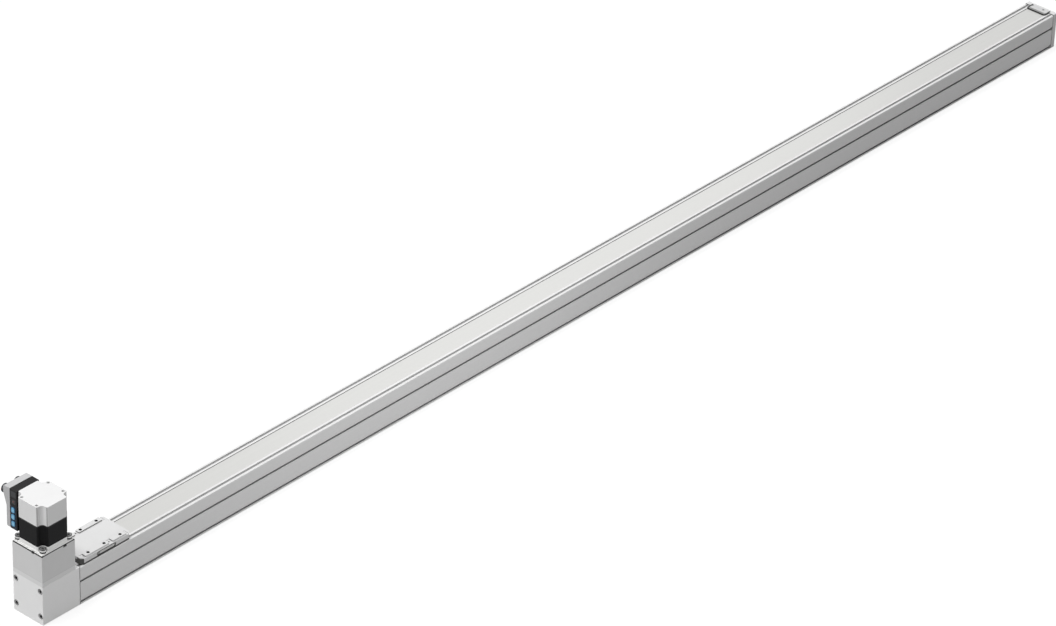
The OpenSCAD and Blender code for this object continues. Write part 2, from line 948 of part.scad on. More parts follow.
module buffer_far() {
    buffer(slide_cx + travel + carriage_half + play, idler_front);
}

module end_cap() {
    color("silver")
        difference() {
            union() {
                along_x(profile_x1 + seam_w, cap_t - seam_w)
                    cut_corners(house_h);
                along_x(profile_x1, cap_t)
                    cut_corners(house_h - seam_depth, axis_w / 2 - seam_depth);
            }
            translate([profile_x1, 0, 0])
                mirror([0, 1, 0])
                    clamp_pocket();
            end_screw_holes(profile_x1, axis_x1, axis_x1 - screw_head_h - 0.6, axis_x1 + 1);
            for (s = [-1, 1]) {
                bar_x(profile_x1 - 1, s * tension_y, tension_z, 5.4, cap_t + 2);
                bar_x(axis_x1 - 4.6, s * tension_y, tension_z, 9, 6);
            }
        }
}

module cap_screws() {
    color("dimgray")
        for (s = [-1, 1], z = end_screws_z)
            translate([axis_x1 - 0.6, s * end_screw_y, z])
                rotate([0, 90, 0])
                    socket_screw(screw_head, screw_head_h, end_shank, cap_t + 12, 4);
}

module tension_screws() {
    color("dimgray")
        for (s = [-1, 1])
            translate([axis_x1 - 0.6, s * tension_y, tension_z])
                rotate([0, 90, 0])
                    socket_screw(8, 4, 5, idler_hold, 4);
}

module idler_block() {
    color("darkgray")
        difference() {
            union() {
                middle_box(idler_front, idler_rear, block_space - 0.4, floor_t, floor_t + 18);
                middle_box(idler_front, idler_rear, idler_half, floor_t + 17, roof_z);
            }
            middle_box(idler_front - 1, idler_x + chamber_r, block_space, idler_low - 0.6, idler_high + 0.6);
            post(idler_x, 0, floor_t + 6, axle_d, profile_h);
            for (s = [-1, 1])
                bar_x(idler_rear - 9, s * tension_y, tension_z, 5, 12);
        }
}

module idler_axle() {
    color("lightsteelblue")
        post(idler_x, 0, floor_t + 6.5, axle_d, roof_z - floor_t - 7);
}

idler_bearing_w = 6;
idler_bearing_d = 19;

module idler_pulley() {
    color("gainsboro")
        translate([idler_x, 0, 0])
            difference() {
                pulley(14);
                post(0, 0, idler_low - 1, idler_bearing_d, idler_bearing_w + 1.2);
                post(0, 0, idler_high - idler_bearing_w - 0.2, idler_bearing_d, idler_bearing_w + 2);
            }
}

module idler_bearings() {
    color("lightsteelblue")
        for (z = [idler_low, idler_high - idler_bearing_w])
            translate([idler_x, 0, z])
                ring(idler_bearing_d, axle_d + 2 * run_fit, idler_bearing_w);
}

// ---------- Slide ----------

slide_z = profile_h + slide_clear;
rail_side_top = profile_h + slide_rail_h;
pad_top = rail_side_top + pad_h;
base_rise = 4.7;
base_top = profile_h + base_rise;
trough_half = band_half + 1;
cover_top = rail_side_top + slide_cover_rise;
cover_half_w = trough_half + 0.6;
cover_z = cover_top - 4.6;
body_half = slide_l / 2;
pad_inset = 3.7;
slide_edge = 1.6;
pad_y0 = trough_half + 1.3;
pad_y1 = slide_w / 2 - 0.7;
side_pocket_z = slide_z + 4.4;
saddle_h = 4;
hole_depth = 9;
pin_depth = 6;

module slide_section() {
    difference() {
        union() {
            translate([-slide_w / 2, slide_z])
                square([slide_w, slide_rail_h - slide_clear - slide_edge]);
            translate([-slide_w / 2 + slide_edge, slide_z])
                square([slide_w - 2 * slide_edge, slide_rail_h - slide_clear]);
            for (s = [-1, 1])
                translate([s * (slide_w / 2 - slide_edge), rail_side_top - slide_edge])
                    circle(slide_edge, $fn = 32);
        }
        translate([-trough_half, slide_z - 1])
            square([2 * trough_half, slide_rail_h + 2]);
    }
}

// One mounting pad between two distances from the slide's middle, on the +Y side
module pad(x0, x1) {
    translate([(x0 + x1) / 2, (pad_y0 + pad_y1) / 2, rail_side_top - eps])
        rounded_plate(x1 - x0, pad_y1 - pad_y0, pad_h + eps, 1.5);
}

module slide_body() {
    color("gainsboro")
        translate([slide_cx, 0, 0])
            difference() {
                union() {
                    along_x(-body_half, 2 * body_half)
                        slide_section();
                    middle_box(-neck_len, neck_len, trough_half + 1, slide_z, base_top);
                    middle_box(-neck_len, neck_len, neck_half, block_top + saddle_h - 1, slide_z + 1);
                    middle_box(-block_l / 2, block_l / 2, block_w / 2 - 1, block_top, block_top + saddle_h);
                    box(-neck_len, neck_len, -belt_in + fit, -neck_half + 1, belt_z, belt_top);
                    for (turn = [0, 180])
                        rotate(turn) {
                            pad(-body_half + pad_inset, -13.4);
                            pad(-6, body_half - pad_inset);
                        }
                }
                for (turn = [0, 180])
                    rotate(turn) {
                        for (x = [-1, 0, 1])
                            post(x * hole_pitch, hole_y, pad_top - hole_depth, hole_d, hole_depth + 1);
                        post(-pin_x, hole_y, rail_side_top - pin_depth, pin_d, pin_depth + 1);
                        side_pocket();
                    }
                for (x = [-1, 1], z = belt_screw_z)
                    bar_y(x * belt_screw_x, -neck_half - 3, z, 2.5, 9);
                for (x = [-1, 1], y = [-1, 1]) {
                    post(x * carriage_screw_x, y * carriage_screw_y, block_top - 1, 3.6, saddle_h + 2);
                    post(x * carriage_screw_x, y * carriage_screw_y, block_top + saddle_h - 2, 6, 4);
                }
                rebate(body_half + 1);
            }
}

// The step in the side rails and the wipers that carries the slide's cover
module rebate(half) {
    middle_box(-half, half, cover_half_w + cover_gap, cover_z, pad_top + 1);
}

module side_pocket() {
    r = side_pocket_h / 2;
    translate([0, -slide_w / 2 - 1, side_pocket_z])
        rotate([-90, 0, 0])
            linear_extrude(side_pocket_depth + 1)
                union() {
                    square([side_pocket_l - 2 * r, 2 * r], center = true);
                    for (s = [-1, 1])
                        translate([s * (side_pocket_l / 2 - r), 0])
                            circle(r, $fn = 32);
                }
}

cover_half_l = body_half + wiper_t;
cover_gap = 0.3;
end_skin = 1.2;
wiper_half = slide_w / 2 - 0.2;
cover_screw_x = body_half - 8;
cover_screw_y = trough_half - 3.4;
cover_skin = 1.2;
guide_head_d = 5;
guide_head_h = 1.7;
guide_head_z = slide_z + 1.2;
wiper_clear = 0.5;
strip_w = 4;

// The cover lies between the side rails, and its thin ends lie over the wipers
module slide_cover() {
    color("gainsboro")
        translate([slide_cx, 0, 0])
            difference() {
                union() {
                    middle_box(-cover_half_l, cover_half_l, cover_half_w, cover_z + fit, cover_top);
                    for (turn = [0, 180])
                        rotate(turn)
                            translate([body_half + fit, 0, cover_top - end_skin])
                                linear_extrude(end_skin)
                                    wiper_plan(wiper_half);
                }
                for (x = [-1, 1], y = [-1, 1])
                    post(x * cover_screw_x, y * cover_screw_y, cover_z, 2.5,
                        cover_top - cover_z - cover_skin);
            }
}

// The screws come up through the guides into blind threads in the cover
module cover_screws() {
    shank = cover_top - cover_skin - guide_head_z - guide_head_h;
    color("dimgray")
        for (x = [-1, 1], y = [-1, 1])
            translate([slide_cx + x * cover_screw_x, y * cover_screw_y, guide_head_z])
                rotate([180, 0, 0])
                    socket_screw(guide_head_d, guide_head_h, 2.4, shank - fit, 2.5);
}

// The guides press the band down onto the magnets at both ends of the hump
module band_guides() {
    z = band_top + play;
    lift = [for (p = ramp_points(z)) if (p[0] > neck_len + 7) p];
    color("dimgray")
        translate([slide_cx, 0, 0])
            for (turn = [0, 180])
                rotate(turn)
                    difference() {
                        along_y(-band_half, band_half)
                            polygon(concat(
                                [[lift[0][0], cover_z]], lift,
                                [[body_half - play, slide_z], [body_half - play, cover_z]]
                            ));
                        for (y = [-1, 1]) {
                            post(cover_screw_x, y * cover_screw_y, slide_z - 2, 2.6, 12);
                            post(cover_screw_x, y * cover_screw_y, slide_z - 2, guide_head_d + 0.4,
                                guide_head_z + guide_head_h + fit - slide_z + 2);
                        }
                    }
}

// A wiper's outline in plan, from the slide's body outward, with its outer corners cut
module wiper_plan(half) {
    polygon([
        [0, -half], [wiper_t - wiper_cut, -half], [wiper_t, wiper_cut - half],
        [wiper_t, half - wiper_cut], [wiper_t - wiper_cut, half], [0, half]
    ]);
}

// The wipers and the strips that join them under the body's sides
module wipers() {
    low = profile_h + wiper_clear;
    color("#383838")
        translate([slide_cx, 0, 0])
            difference() {
                for (turn = [0, 180])
                    rotate(turn) {
                        translate([body_half, 0, low])
                            linear_extrude(cover_top - end_skin - fit - low)
                                wiper_plan(wiper_half);
                        box(-body_half - 1, body_half + 1, wiper_half - strip_w, wiper_half, low, slide_z);
                    }
                rebate(body_half + wiper_t + 1);
            }
}

module side_inserts() {
    insert_l = side_pocket_l - 6;
    insert_h = side_pocket_h - 1.6;
    insert_t = side_pocket_depth - 0.6;
    color("gray")
        for (s = [-1, 1])
            translate([slide_cx, s * (slide_w / 2 - side_pocket_depth + insert_t / 2), side_pocket_z])
                rotate([90, 0, 0])
                    translate([0, 0, -insert_t / 2])
                        rounded_plate(insert_l, insert_h, insert_t, 1);
}

// ---------- Carriage on the rail ----------

block_z = floor_t + 4;
carriage_screw_x = 13;
carriage_screw_y = 12.5;
ball_y = rail_w / 2 + 0.4;

module block_section(clear) {
    difference() {
        translate([-block_w / 2, block_z])
            square([block_w, block_top - block_z]);
        translate([-rail_w / 2 - clear, block_z - 1])
            square([rail_w + 2 * clear, rail_top - block_z + 1 + clear]);
        for (s = [-1, 1])
            translate([s * ball_y, groove_z])
                circle(ball_r + 0.1, $fn = 32);
    }
}

module carriage_block() {
    color("lightsteelblue")
        translate([slide_cx, 0, 0])
            difference() {
                along_x(-block_l / 2, block_l)
                    block_section(0.5);
                for (x = [-1, 1], y = [-1, 1])
                    post(x * carriage_screw_x, y * carriage_screw_y, block_top - 6, 3.4, 7);
            }
}

module carriage_caps() {
    color("#505050")
        for (s = [-1, 1])
            translate([slide_cx + s * (carriage_half - block_cap_l / 2) - block_cap_l / 2, 0, 0])
                along_x(0, block_cap_l)
                    difference() {
                        translate([-block_w / 2 + 0.4, block_z + 0.4])
                            square([block_w - 0.8, block_top - block_z - 0.8]);
                        translate([-rail_w / 2 - 0.5, block_z - 1])
                            square([rail_w + 1, rail_top - block_z + 1.5]);
                    }
}

module carriage_balls() {
    pitch = 2 * ball_r + 0.7;
    n = floor((block_l - 4) / pitch);
    color("silver")
        for (s = [-1, 1], i = [0:n])
            translate([slide_cx + (i - n / 2) * pitch, s * ball_y, groove_z])
                sphere(ball_r, $fn = 24);
}

module carriage_screws() {
    color("dimgray")
        for (x = [-1, 1], y = [-1, 1])
            translate([slide_cx + x * carriage_screw_x, y * carriage_screw_y, block_top + saddle_h - 0.2])
                socket_screw(5.5, 1.8, 3.2, saddle_h + 3, 2.5);
}

belt_screw_x = 16;
belt_screw_z = [belt_z - 1.9, belt_top + 1.9];
clamp_y0 = belt_out + fit;
clamp_plate_t = 2.2;
clamp_plate_z0 = belt_screw_z[0] - 1.5;
clamp_plate_z1 = belt_screw_z[1] + 1.6;

module belt_clamp() {
    color("darkgray")
        translate([slide_cx, 0, 0])
            difference() {
                box(-neck_len, neck_len, -clamp_y0 - clamp_plate_t, -clamp_y0,
                    clamp_plate_z0, clamp_plate_z1);
                for (x = [-1, 1], z = belt_screw_z)
                    bar_y(x * belt_screw_x, -clamp_y0 - 4, z, 2.6, 8);
            }
}

module belt_clamp_screws() {
    color("dimgray")
        for (x = [-1, 1], z = belt_screw_z)
            translate([slide_cx + x * belt_screw_x, -clamp_y0 - clamp_plate_t, z])
                rotate([-90, 0, 0])
                    cylinder(d = 2.4, h = clamp_y0 + clamp_plate_t - neck_half + 4, $fn = 24);
}

// ---------- Controller ----------

ctrl_x0 = -22;
ctrl_x1 = ctrl_x0 + ctrl_l;
ctrl_y0 = motor_w / 2 - 0.4;
ctrl_y1 = ctrl_y0 + ctrl_d;
ctrl_z0 = stator_z + 0.4;
ctrl_z1 = ctrl_z0 + ctrl_h;
plug_z = ctrl_z1 - plug_drop;
plug_x = [-15, -15 + plug_pitch];
key_y = ctrl_y0 + 7.6;
key_z0 = ctrl_z0 + 9.6;
key_round = 1.6;
pad_z0 = ctrl_z0 + 1.6;
pad_z1 = pad_z0 + 37.6;
light_z0 = pad_z1 + 3.4;
light_z1 = light_z0 + 7.6;
pane_z0 = ctrl_z1 - 12.6;
pane_z1 = ctrl_z1 - 2.4;
board_x = ctrl_x0 + 6;

module controller_housing() {
    color("#303030")
        difference() {
            box(ctrl_x0, ctrl_x1, ctrl_y0, ctrl_y1, ctrl_z0, ctrl_z1);
            box(ctrl_x0 + ctrl_wall, ctrl_x1 - ctrl_wall, ctrl_y0 + ctrl_wall, ctrl_y1 + 1,
                ctrl_z0 + ctrl_wall, ctrl_z1 - ctrl_wall);
            keypad_plate(-1, 0);
            display_panes(-1, 0);
            for (i = [0:2])
                key_shape(i, play, ctrl_x0 - 1, ctrl_x0 + ctrl_wall + 1);
        }
}

// The keypad's plate from a height over the housing's face, smaller all round by a gap
module keypad_plate(out, gap) {
    box(ctrl_x0 + out, ctrl_x0 + 0.6, ctrl_y0 + 1.6 + gap, ctrl_y1 - 1.4 - gap, pad_z0 + gap, pad_z1 - gap);
}

// The display's pane and the status light's pane below it
module display_panes(out, gap) {
    box(ctrl_x0 + out, ctrl_x0 + 1, ctrl_y0 + 2 + gap, ctrl_y1 - 1.8 - gap, pane_z0 + gap, pane_z1 - gap);
    box(ctrl_x0 + out, ctrl_x0 + 1, ctrl_y0 + 3 + gap, ctrl_y1 - 3.6 - gap, light_z0 + gap, light_z1 - gap);
}

module key_box(i, w, h, x0, x1) {
    z = key_z0 + i * key_pitch;
    box(x0, x1, key_y - w / 2, key_y + w / 2, z - h / 2, z + h / 2);
}

// A key's face, or the opening that it stands in, wider all round by a gap
module key_shape(i, gap, x0, x1) {
    translate([x0, key_y, key_z0 + i * key_pitch])
        rotate([0, 90, 0])
            rounded_plate(key_h + 2 * gap, key_w + 2 * gap, x1 - x0, key_round + gap);
}

module controller_cover() {
    outer = ctrl_y1 + ctrl_cover_d;
    bulge = ctrl_y1 + ctrl_bulge_d;
    color("lightgray")
        difference() {
            translate([ctrl_x0, 0, 0])
                rotate([90, 0, 90])
                    linear_extrude(ctrl_l)
                        polygon([
                            [ctrl_y1, ctrl_z0 + 0.6], [outer - 1.5, ctrl_z0 + 0.6], [outer, ctrl_z0 + 2.1],
                            [outer, ctrl_z1 - 31], [bulge, ctrl_z1 - 12], [bulge, ctrl_z1 - 1.5],
                            [bulge - 1.5, ctrl_z1], [ctrl_y1, ctrl_z1]
                        ]);
            translate([ctrl_x1, outer, 0])
                rotate(-45)
                    translate([0, 0, ctrl_z0 - 1])
                        cube([20, 20, ctrl_h + 4]);
            box(ctrl_x0 + ctrl_wall, ctrl_x1 - ctrl_wall, ctrl_y1 - 1, outer - ctrl_wall,
                ctrl_z0 + ctrl_wall + 1, ctrl_z1 - ctrl_wall);
            for (x = plug_x)
                bar_y(x, outer - ctrl_wall - 3, plug_z, plug_d - 1.6, 20);
        }
}

module connectors() {
    seat = ctrl_y1 + ctrl_cover_d - ctrl_wall;
    tip = ctrl_y1 + ctrl_bulge_d + plug_l;
    color("#353535")
        for (x = plug_x)
            translate([x, 0, plug_z])
                rotate([-90, 0, 0]) {
                    difference() {
                        union() {
                            translate([0, 0, seat - 2])
                                cylinder(d = plug_d - 2, h = tip - seat + 2, $fn = round_fn);
                            translate([0, 0, tip - plug_l + fit])
                                cylinder(d = plug_d, h = plug_l - fit, $fn = round_fn);
                        }
                        translate([0, 0, tip - 8])
                            cylinder(d = plug_d - 4.6, h = 10, $fn = round_fn);
                    }
                    for (i = [0:3])
                        rotate(45 + i * 90)
                            translate([2.4, 0, tip - 9])
                                cylinder(d = 1.1, h = 6.5, $fn = 24);
                }
}

module keypad() {
    color("#163f5c")
        difference() {
            keypad_plate(-0.2, fit);
            for (i = [0:2])
                key_shape(i, play, ctrl_x0 - 1, ctrl_x0 + 1);
        }
}

// A key with a collar behind the housing's wall and a stem in front of its switch
module key(i) {
    color("steelblue") {
        key_shape(i, 0, ctrl_x0 - 0.2 - key_travel - 0.3, ctrl_x0 + ctrl_wall + play + eps);
        key_box(i, key_w + 1.6, key_h + 1.6, ctrl_x0 + ctrl_wall + play, ctrl_x0 + ctrl_wall + play + 0.8);
        key_box(i, 2, 2, ctrl_x0 + ctrl_wall + play + 0.8 - eps, board_x - 0.5 - key_travel - 0.1);
    }
}

module key_down() {
    key(0);
}

module key_set() {
    key(1);
}

module key_up() {
    key(2);
}

module display_window() {
    color("#2c3940")
        display_panes(0, fit);
}

module controller_boards() {
    color("darkgreen") {
        box(board_x, board_x + 1.6, ctrl_y0 + ctrl_wall + 0.2, ctrl_y1 - 0.4, ctrl_z0 + 4, ctrl_z1 - 4);
        for (i = [0:2])
            key_box(i, 4, 4, board_x - 0.5, board_x + eps);
        box(board_x + 1.6 - eps, ctrl_x1 - 4, ctrl_y0 + 6, ctrl_y0 + 7.6, ctrl_z0 + 4, ctrl_z1 - 4);
    }
}

profile();
drive_housing();
housing_screws();
neck_plate();
coupling_housing();
motor_flange();
motor_screws();
motor_stator();
motor_windings();
motor_lid();
lid_screws();
motor_bearings();
encoder_board();
rotor();
motor_shaft();
encoder_magnet();
coupling_hub_upper();
coupling_spider();
coupling_hub_lower();
drive_shaft();
drive_pulley();
shaft_bearings();
guide_rail();
rail_screws();
magnet_strips();
cover_band();
band_clamp_near();
band_clamp_far();
clamp_screws();
buffer_near();
buffer_far();
end_cap();
cap_screws();
tension_screws();
idler_block();
idler_axle();
idler_pulley();
idler_bearings();
toothed_belt();
slide_body();
slide_cover();
cover_screws();
band_guides();
wipers();
side_inserts();
carriage_block();
carriage_caps();
carriage_balls();
carriage_screws();
belt_clamp();
belt_clamp_screws();
controller_housing();
controller_cover();
keypad();
key_up();
key_set();
key_down();
display_window();
controller_boards();
connectors();
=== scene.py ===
import json
import math

import bmesh
import bpy
from mathutils import Matrix, Vector


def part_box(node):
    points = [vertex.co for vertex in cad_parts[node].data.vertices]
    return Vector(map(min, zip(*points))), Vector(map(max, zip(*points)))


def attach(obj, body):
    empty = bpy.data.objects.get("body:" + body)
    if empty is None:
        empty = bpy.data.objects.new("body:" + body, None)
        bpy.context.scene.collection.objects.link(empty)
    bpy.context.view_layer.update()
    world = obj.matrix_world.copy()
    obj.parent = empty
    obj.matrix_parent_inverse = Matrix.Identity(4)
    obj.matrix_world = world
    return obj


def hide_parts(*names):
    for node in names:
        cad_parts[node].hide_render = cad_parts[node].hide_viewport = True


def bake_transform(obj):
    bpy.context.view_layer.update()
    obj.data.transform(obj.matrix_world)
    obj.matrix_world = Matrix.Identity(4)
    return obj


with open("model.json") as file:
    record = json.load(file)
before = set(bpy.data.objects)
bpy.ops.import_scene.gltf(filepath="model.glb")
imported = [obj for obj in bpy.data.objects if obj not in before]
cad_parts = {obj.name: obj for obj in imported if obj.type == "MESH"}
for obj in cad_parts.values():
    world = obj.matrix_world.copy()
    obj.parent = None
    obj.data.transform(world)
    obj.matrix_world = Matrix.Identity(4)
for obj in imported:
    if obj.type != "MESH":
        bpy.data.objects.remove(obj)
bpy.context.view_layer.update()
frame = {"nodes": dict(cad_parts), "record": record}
nodes = frame["nodes"]
scene = bpy.context.scene
bpy.ops.object.select_all(action="DESELECT")
print("frame loaded:", len(nodes), "nodes")

# ---------- view ----------

cameraPlan = {
    "place": (-4.0529, -4.3815, 4.2272),
    "heading": 40.774,
    "pitch": -31.99,
    "roll": 2.02,
    "lens": 174.3,
    "sensor": 36.0,
    "farthest": 100,
}

cameraData = bpy.data.cameras.new("viewCamera")
camera = bpy.data.objects.new("viewCamera", cameraData)
scene.collection.objects.link(camera)
cameraData.lens = cameraPlan["lens"]
cameraData.sensor_width = cameraPlan["sensor"]
cameraData.clip_end = cameraPlan["farthest"]
turn = (
    Matrix.Rotation(math.radians(cameraPlan["heading"] - 90), 4, "Z")
    @ Matrix.Rotation(math.radians(90 + cameraPlan["pitch"]), 4, "X")
    @ Matrix.Rotation(math.radians(cameraPlan["roll"]), 4, "Z")
)
camera.matrix_world = Matrix.Translation(cameraPlan["place"]) @ turn
scene.camera = camera
scene.view_settings.view_transform = "Standard"
print("camera placed")


# ---------- shader wiring ----------

class Link:
    # one socket that can be used in sums
    def __init__(self, wiring, socket):
        self.wiring = wiring
        self.socket = socket

    def __add__(self, other):
        return self.wiring.maths("ADD", self, other)

    def __radd__(self, other):
        return self.wiring.maths("ADD", other, self)

    def __sub__(self, other):
        return self.wiring.maths("SUBTRACT", self, other)

    def __mul__(self, other):
        return self.wiring.maths("MULTIPLY", self, other)

    def __abs__(self):
        return self.wiring.maths("ABSOLUTE", self, 0)

    def __gt__(self, other):
        return self.wiring.maths("GREATER_THAN", self, other)

    def __lt__(self, other):
        return self.wiring.maths("LESS_THAN", self, other)


class Wiring:
    # a node tree and the short ways to fill it
    def __init__(self, tree):
        self.tree = tree

    def node(self, kind, settings=None, sockets=None, output=0):
        made = self.tree.nodes.new("ShaderNode" + kind)
        for name, value in (settings or {}).items():
            setattr(made, name, value)
        for name, value in (sockets or {}).items():
            self.join(value, made.inputs[name])
        return Link(self, made.outputs[output])

    def join(self, value, socket):
        if isinstance(value, Link):
            self.tree.links.new(value.socket, socket)
        else:
            socket.default_value = value

    def maths(self, operation, first, second):
        return self.node("Math", {"operation": operation}, {0: first, 1: second})

    def mix(self, factor, first, second):
        return self.node("Mix", {"data_type": "RGBA"}, {0: factor, 6: first, 7: second}, 2)

    def place(self, scale=1):
        # the object's own coordinates, scaled by one number or by three
        coords = self.node("TexCoord", output="Object")
        spread = scale if isinstance(scale, tuple) else (scale,) * 3
        return self.node("Mapping", {}, {"Vector": coords, "Scale": spread})

    def noise(self, scale, detail, rough):
        sockets = {"Vector": self.place(scale), "Scale": 1.0, "Detail": detail, "Roughness": rough}
        return self.node("TexNoise", {}, sockets)

    def cells(self, scale, feature="F1"):
        return self.node("TexVoronoi", {"feature": feature}, {"Vector": self.place(scale), "Scale": 1.0})

    def axis(self, name):
        return self.node("SeparateXYZ", {}, {0: self.place()}, "XYZ".index(name))

    def axes(self):
        return [self.axis(name) for name in "XYZ"]

    def ridges(self, pitch):
        # rises from 0 to 1 and falls again in each pitch along Z
        return self.maths("PINGPONG", self.axis("Z"), pitch / 2) * (2 / pitch)

    def tones(self, share, colour, look):
        return self.mix(share, tint(colour, look["low"]), tint(colour, look["high"]))

    def bump(self, height, depth, strength):
        return self.node("Bump", {}, {"Height": height, "Distance": depth, "Strength": strength})

    def seenDirectly(self):
        # 1 for a ray from the camera, from a mirror or through glass, 0 for light that falls on the axis
        rays = self.tree.nodes.new("ShaderNodeLightPath").outputs
        camera, glossy, through = (
            Link(self, rays[name]) for name in ("Is Camera Ray", "Is Glossy Ray", "Is Transmission Ray")
        )
        return self.maths("MAXIMUM", camera, self.maths("MAXIMUM", glossy, through))


class Finish(Wiring):
    # a material with its surface shader; fixed values go straight on the shader's sockets
    def __init__(self, name, fixed):
        self.material = bpy.data.materials.new(name)
        self.material.use_nodes = True
        super().__init__(self.material.node_tree)
        self.shader = self.tree.nodes["Principled BSDF"]
        for socket, value in fixed.items():
            self.shader.inputs[socket].default_value = value

    def feed(self, socket, value):
        self.join(value, self.shader.inputs[socket])

    def complete(self, colour, rough, height, look):
        self.feed("Base Color", colour)
        self.feed("Roughness", rough)
        self.feed("Normal", self.bump(height, look["depth"], look["strength"]))
        return self.material


def shade(red, green, blue):
    # screen values from 0 to 255 as a linear colour
    def linear(value):
        value = value / 255
        return value / 12.92 if value <= 0.04045 else ((value + 0.055) / 1.055) ** 2.4
    return (linear(red), linear(green), linear(blue), 1.0)


def tint(colour, factor):
    return tuple(min(1.0, part * factor) for part in colour[:3]) + (1.0,)


slideMiddle = (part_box("slide_body")[0].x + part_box("slide_body")[1].x) / 2
holes = next(mount for mount in frame["record"]["mounts"] if mount["name"] == "slide_holes")
metre = 1000  # millimetres
holeX = holes["dims"]["spacing_x_mm"] / 2 / metre
holeY = holes["dims"]["spacing_y_mm"] / 2 / metre
holeRadius = holes["dims"]["hole_r_mm"] / metre


# ---------- finishes ----------
# A noise is given as scale, detail and roughness; low and high tint the colour at its two ends.

def extrudedAluminium(name, colour, metal):
    # drawn lines run along the profile; painted shade darkens its slots, grooves and channel, and a painted
    # shadow the trough under the far clamp
    look = {
        "dieLines": ((0.9, 2000, 2000), 3.0, 0.6), "broadLines": ((0.35, 160, 160), 2.0, 0.5),
        "drift": ((1.6, 6, 6), 2.0, 0.5), "lineShare": 0.35, "driftShare": 0.3,
        "low": 0.93, "high": 1.06, "topShadeTint": 0.95, "dark": shade(30, 31, 32),
        "rough": 0.33, "roughSpread": 0.12, "depth": 0.00004, "strength": 0.35,
        "skin": 0.0005, "insideShade": 0.3, "troughShade": 0.7,
        "troughSide": 0.0015, "troughTop": 0.0001, "clampRoom": 0.0005,
    }
    finish = Finish(name, {"Metallic": metal})
    dieLines = finish.noise(*look["dieLines"])
    tone = dieLines * look["lineShare"] + finish.noise(*look["broadLines"]) * look["lineShare"]
    tone = tone + finish.noise(*look["drift"]) * look["driftShare"]
    low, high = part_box("profile")
    skin = look["skin"]
    along, across, up = finish.axes()
    between = (along > low.x + skin) * (along < high.x - skin)  # leaves the sawn ends bright
    inside = (abs(across) < high.y - skin) * (up < high.z - skin) * between
    outer = finish.tones(tone, colour, look)
    # painted shade: the top skin is tinted darker than the sides
    upper = finish.tones(tone, tint(colour, look["topShadeTint"]), look)
    outer = finish.mix(up > high.z - skin / 2, outer, upper)
    trough = abs(across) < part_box("cover_band")[1].y + look["troughSide"]
    trough = trough * (up < high.z - look["troughTop"]) * between
    # painted shadow in the trough under the far clamp's nose
    clampShadow = trough * (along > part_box("band_clamp_far")[0].x - look["clampRoom"])
    # painted shade in the slots, grooves and channel, and in the trough
    paintedShade = inside * look["insideShade"] + (trough + clampShadow) * look["troughShade"]
    plain = finish.mix(paintedShade, outer, look["dark"])
    return finish.complete(plain, look["rough"] + dieLines * look["roughSpread"], dieLines, look)


def blastedAluminium(name, colour, metal, rough=0.46, jointsAndPaintedShade=None):
    # jointsAndPaintedShade gives the mask of the black joints and of the painted shade in seams and recesses
    look = {
        "grain": (1 / 0.00045, 2.0, 0.6), "cloud": (34, 3.0, 0.55), "grainShare": 0.4, "cloudShare": 0.6,
        "low": 0.95, "high": 1.05, "black": shade(22, 22, 22),
        "roughSpread": 0.1, "depth": 0.00003, "strength": 0.5,
    }
    finish = Finish(name, {"Metallic": metal})
    grain, cloud = finish.noise(*look["grain"]), finish.noise(*look["cloud"])
    plain = finish.tones(grain * look["grainShare"] + cloud * look["cloudShare"], colour, look)
    if jointsAndPaintedShade:
        plain = finish.mix(jointsAndPaintedShade(finish), plain, look["black"])
    rough = rough - look["roughSpread"] / 2
    return finish.complete(plain, rough + grain * look["roughSpread"], grain, look)


def bandSteel(name):
    look = {
        "colour": shade(201, 201, 199), "low": 0.95, "high": 1.05,
        "brushing": ((3, 2400, 2400), 3.0, 0.65), "rubbing": ((0.8, 220, 220), 2.0, 0.5), "share": 0.5,
        "rough": 0.24, "roughSpread": 0.14, "depth": 0.00002, "strength": 0.3,
        "shadow": shade(30, 30, 30), "shadowRoom": 0.002, "shadowShare": 0.8,
    }
    finish = Finish(name, {"Metallic": 0.7})
    brushing, rubbing = finish.noise(*look["brushing"]), finish.noise(*look["rubbing"])
    plain = finish.tones(brushing * look["share"] + rubbing * look["share"], look["colour"], look)
    # painted shadow on the band under the far clamp's nose
    underClamp = finish.axis("X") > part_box("band_clamp_far")[0].x - look["shadowRoom"]
    plain = finish.mix(underClamp * look["shadowShare"], plain, look["shadow"])
    return finish.complete(plain, look["rough"] + brushing * look["roughSpread"], brushing, look)


def groundSteel(name, colour, rough):
    look = {
        "marks": ((60, 60, 1500), 3.0, 0.6), "film": (45, 2.0, 0.5), "share": 0.5,
        "low": 0.88, "high": 1.08, "roughSpread": 0.12, "depth": 0.00001, "strength": 0.3,
    }
    finish = Finish(name, {"Metallic": 0.9})
    marks, film = finish.noise(*look["marks"]), finish.noise(*look["film"])
    plain = finish.tones(marks * look["share"] + film * look["share"], colour, look)
    return finish.complete(plain, rough + film * look["roughSpread"], marks, look)


def screwSteel(name, colour, worn):
    look = {
        "speck": (900, 3.0, 0.6), "film": (260, 2.0, 0.5), "wornFrom": 0.6, "wornShare": 0.35,
        "low": 0.85, "high": 1.15, "rough": 0.3, "roughSpread": 0.15, "depth": 0.00001, "strength": 0.4,
    }
    finish = Finish(name, {"Metallic": 0.85})
    speck = finish.noise(*look["speck"])
    wornParts = (finish.noise(*look["film"]) > look["wornFrom"]) * look["wornShare"]
    plain = finish.mix(wornParts, finish.tones(speck, colour, look), worn)
    return finish.complete(plain, look["rough"] + speck * look["roughSpread"], speck, look)


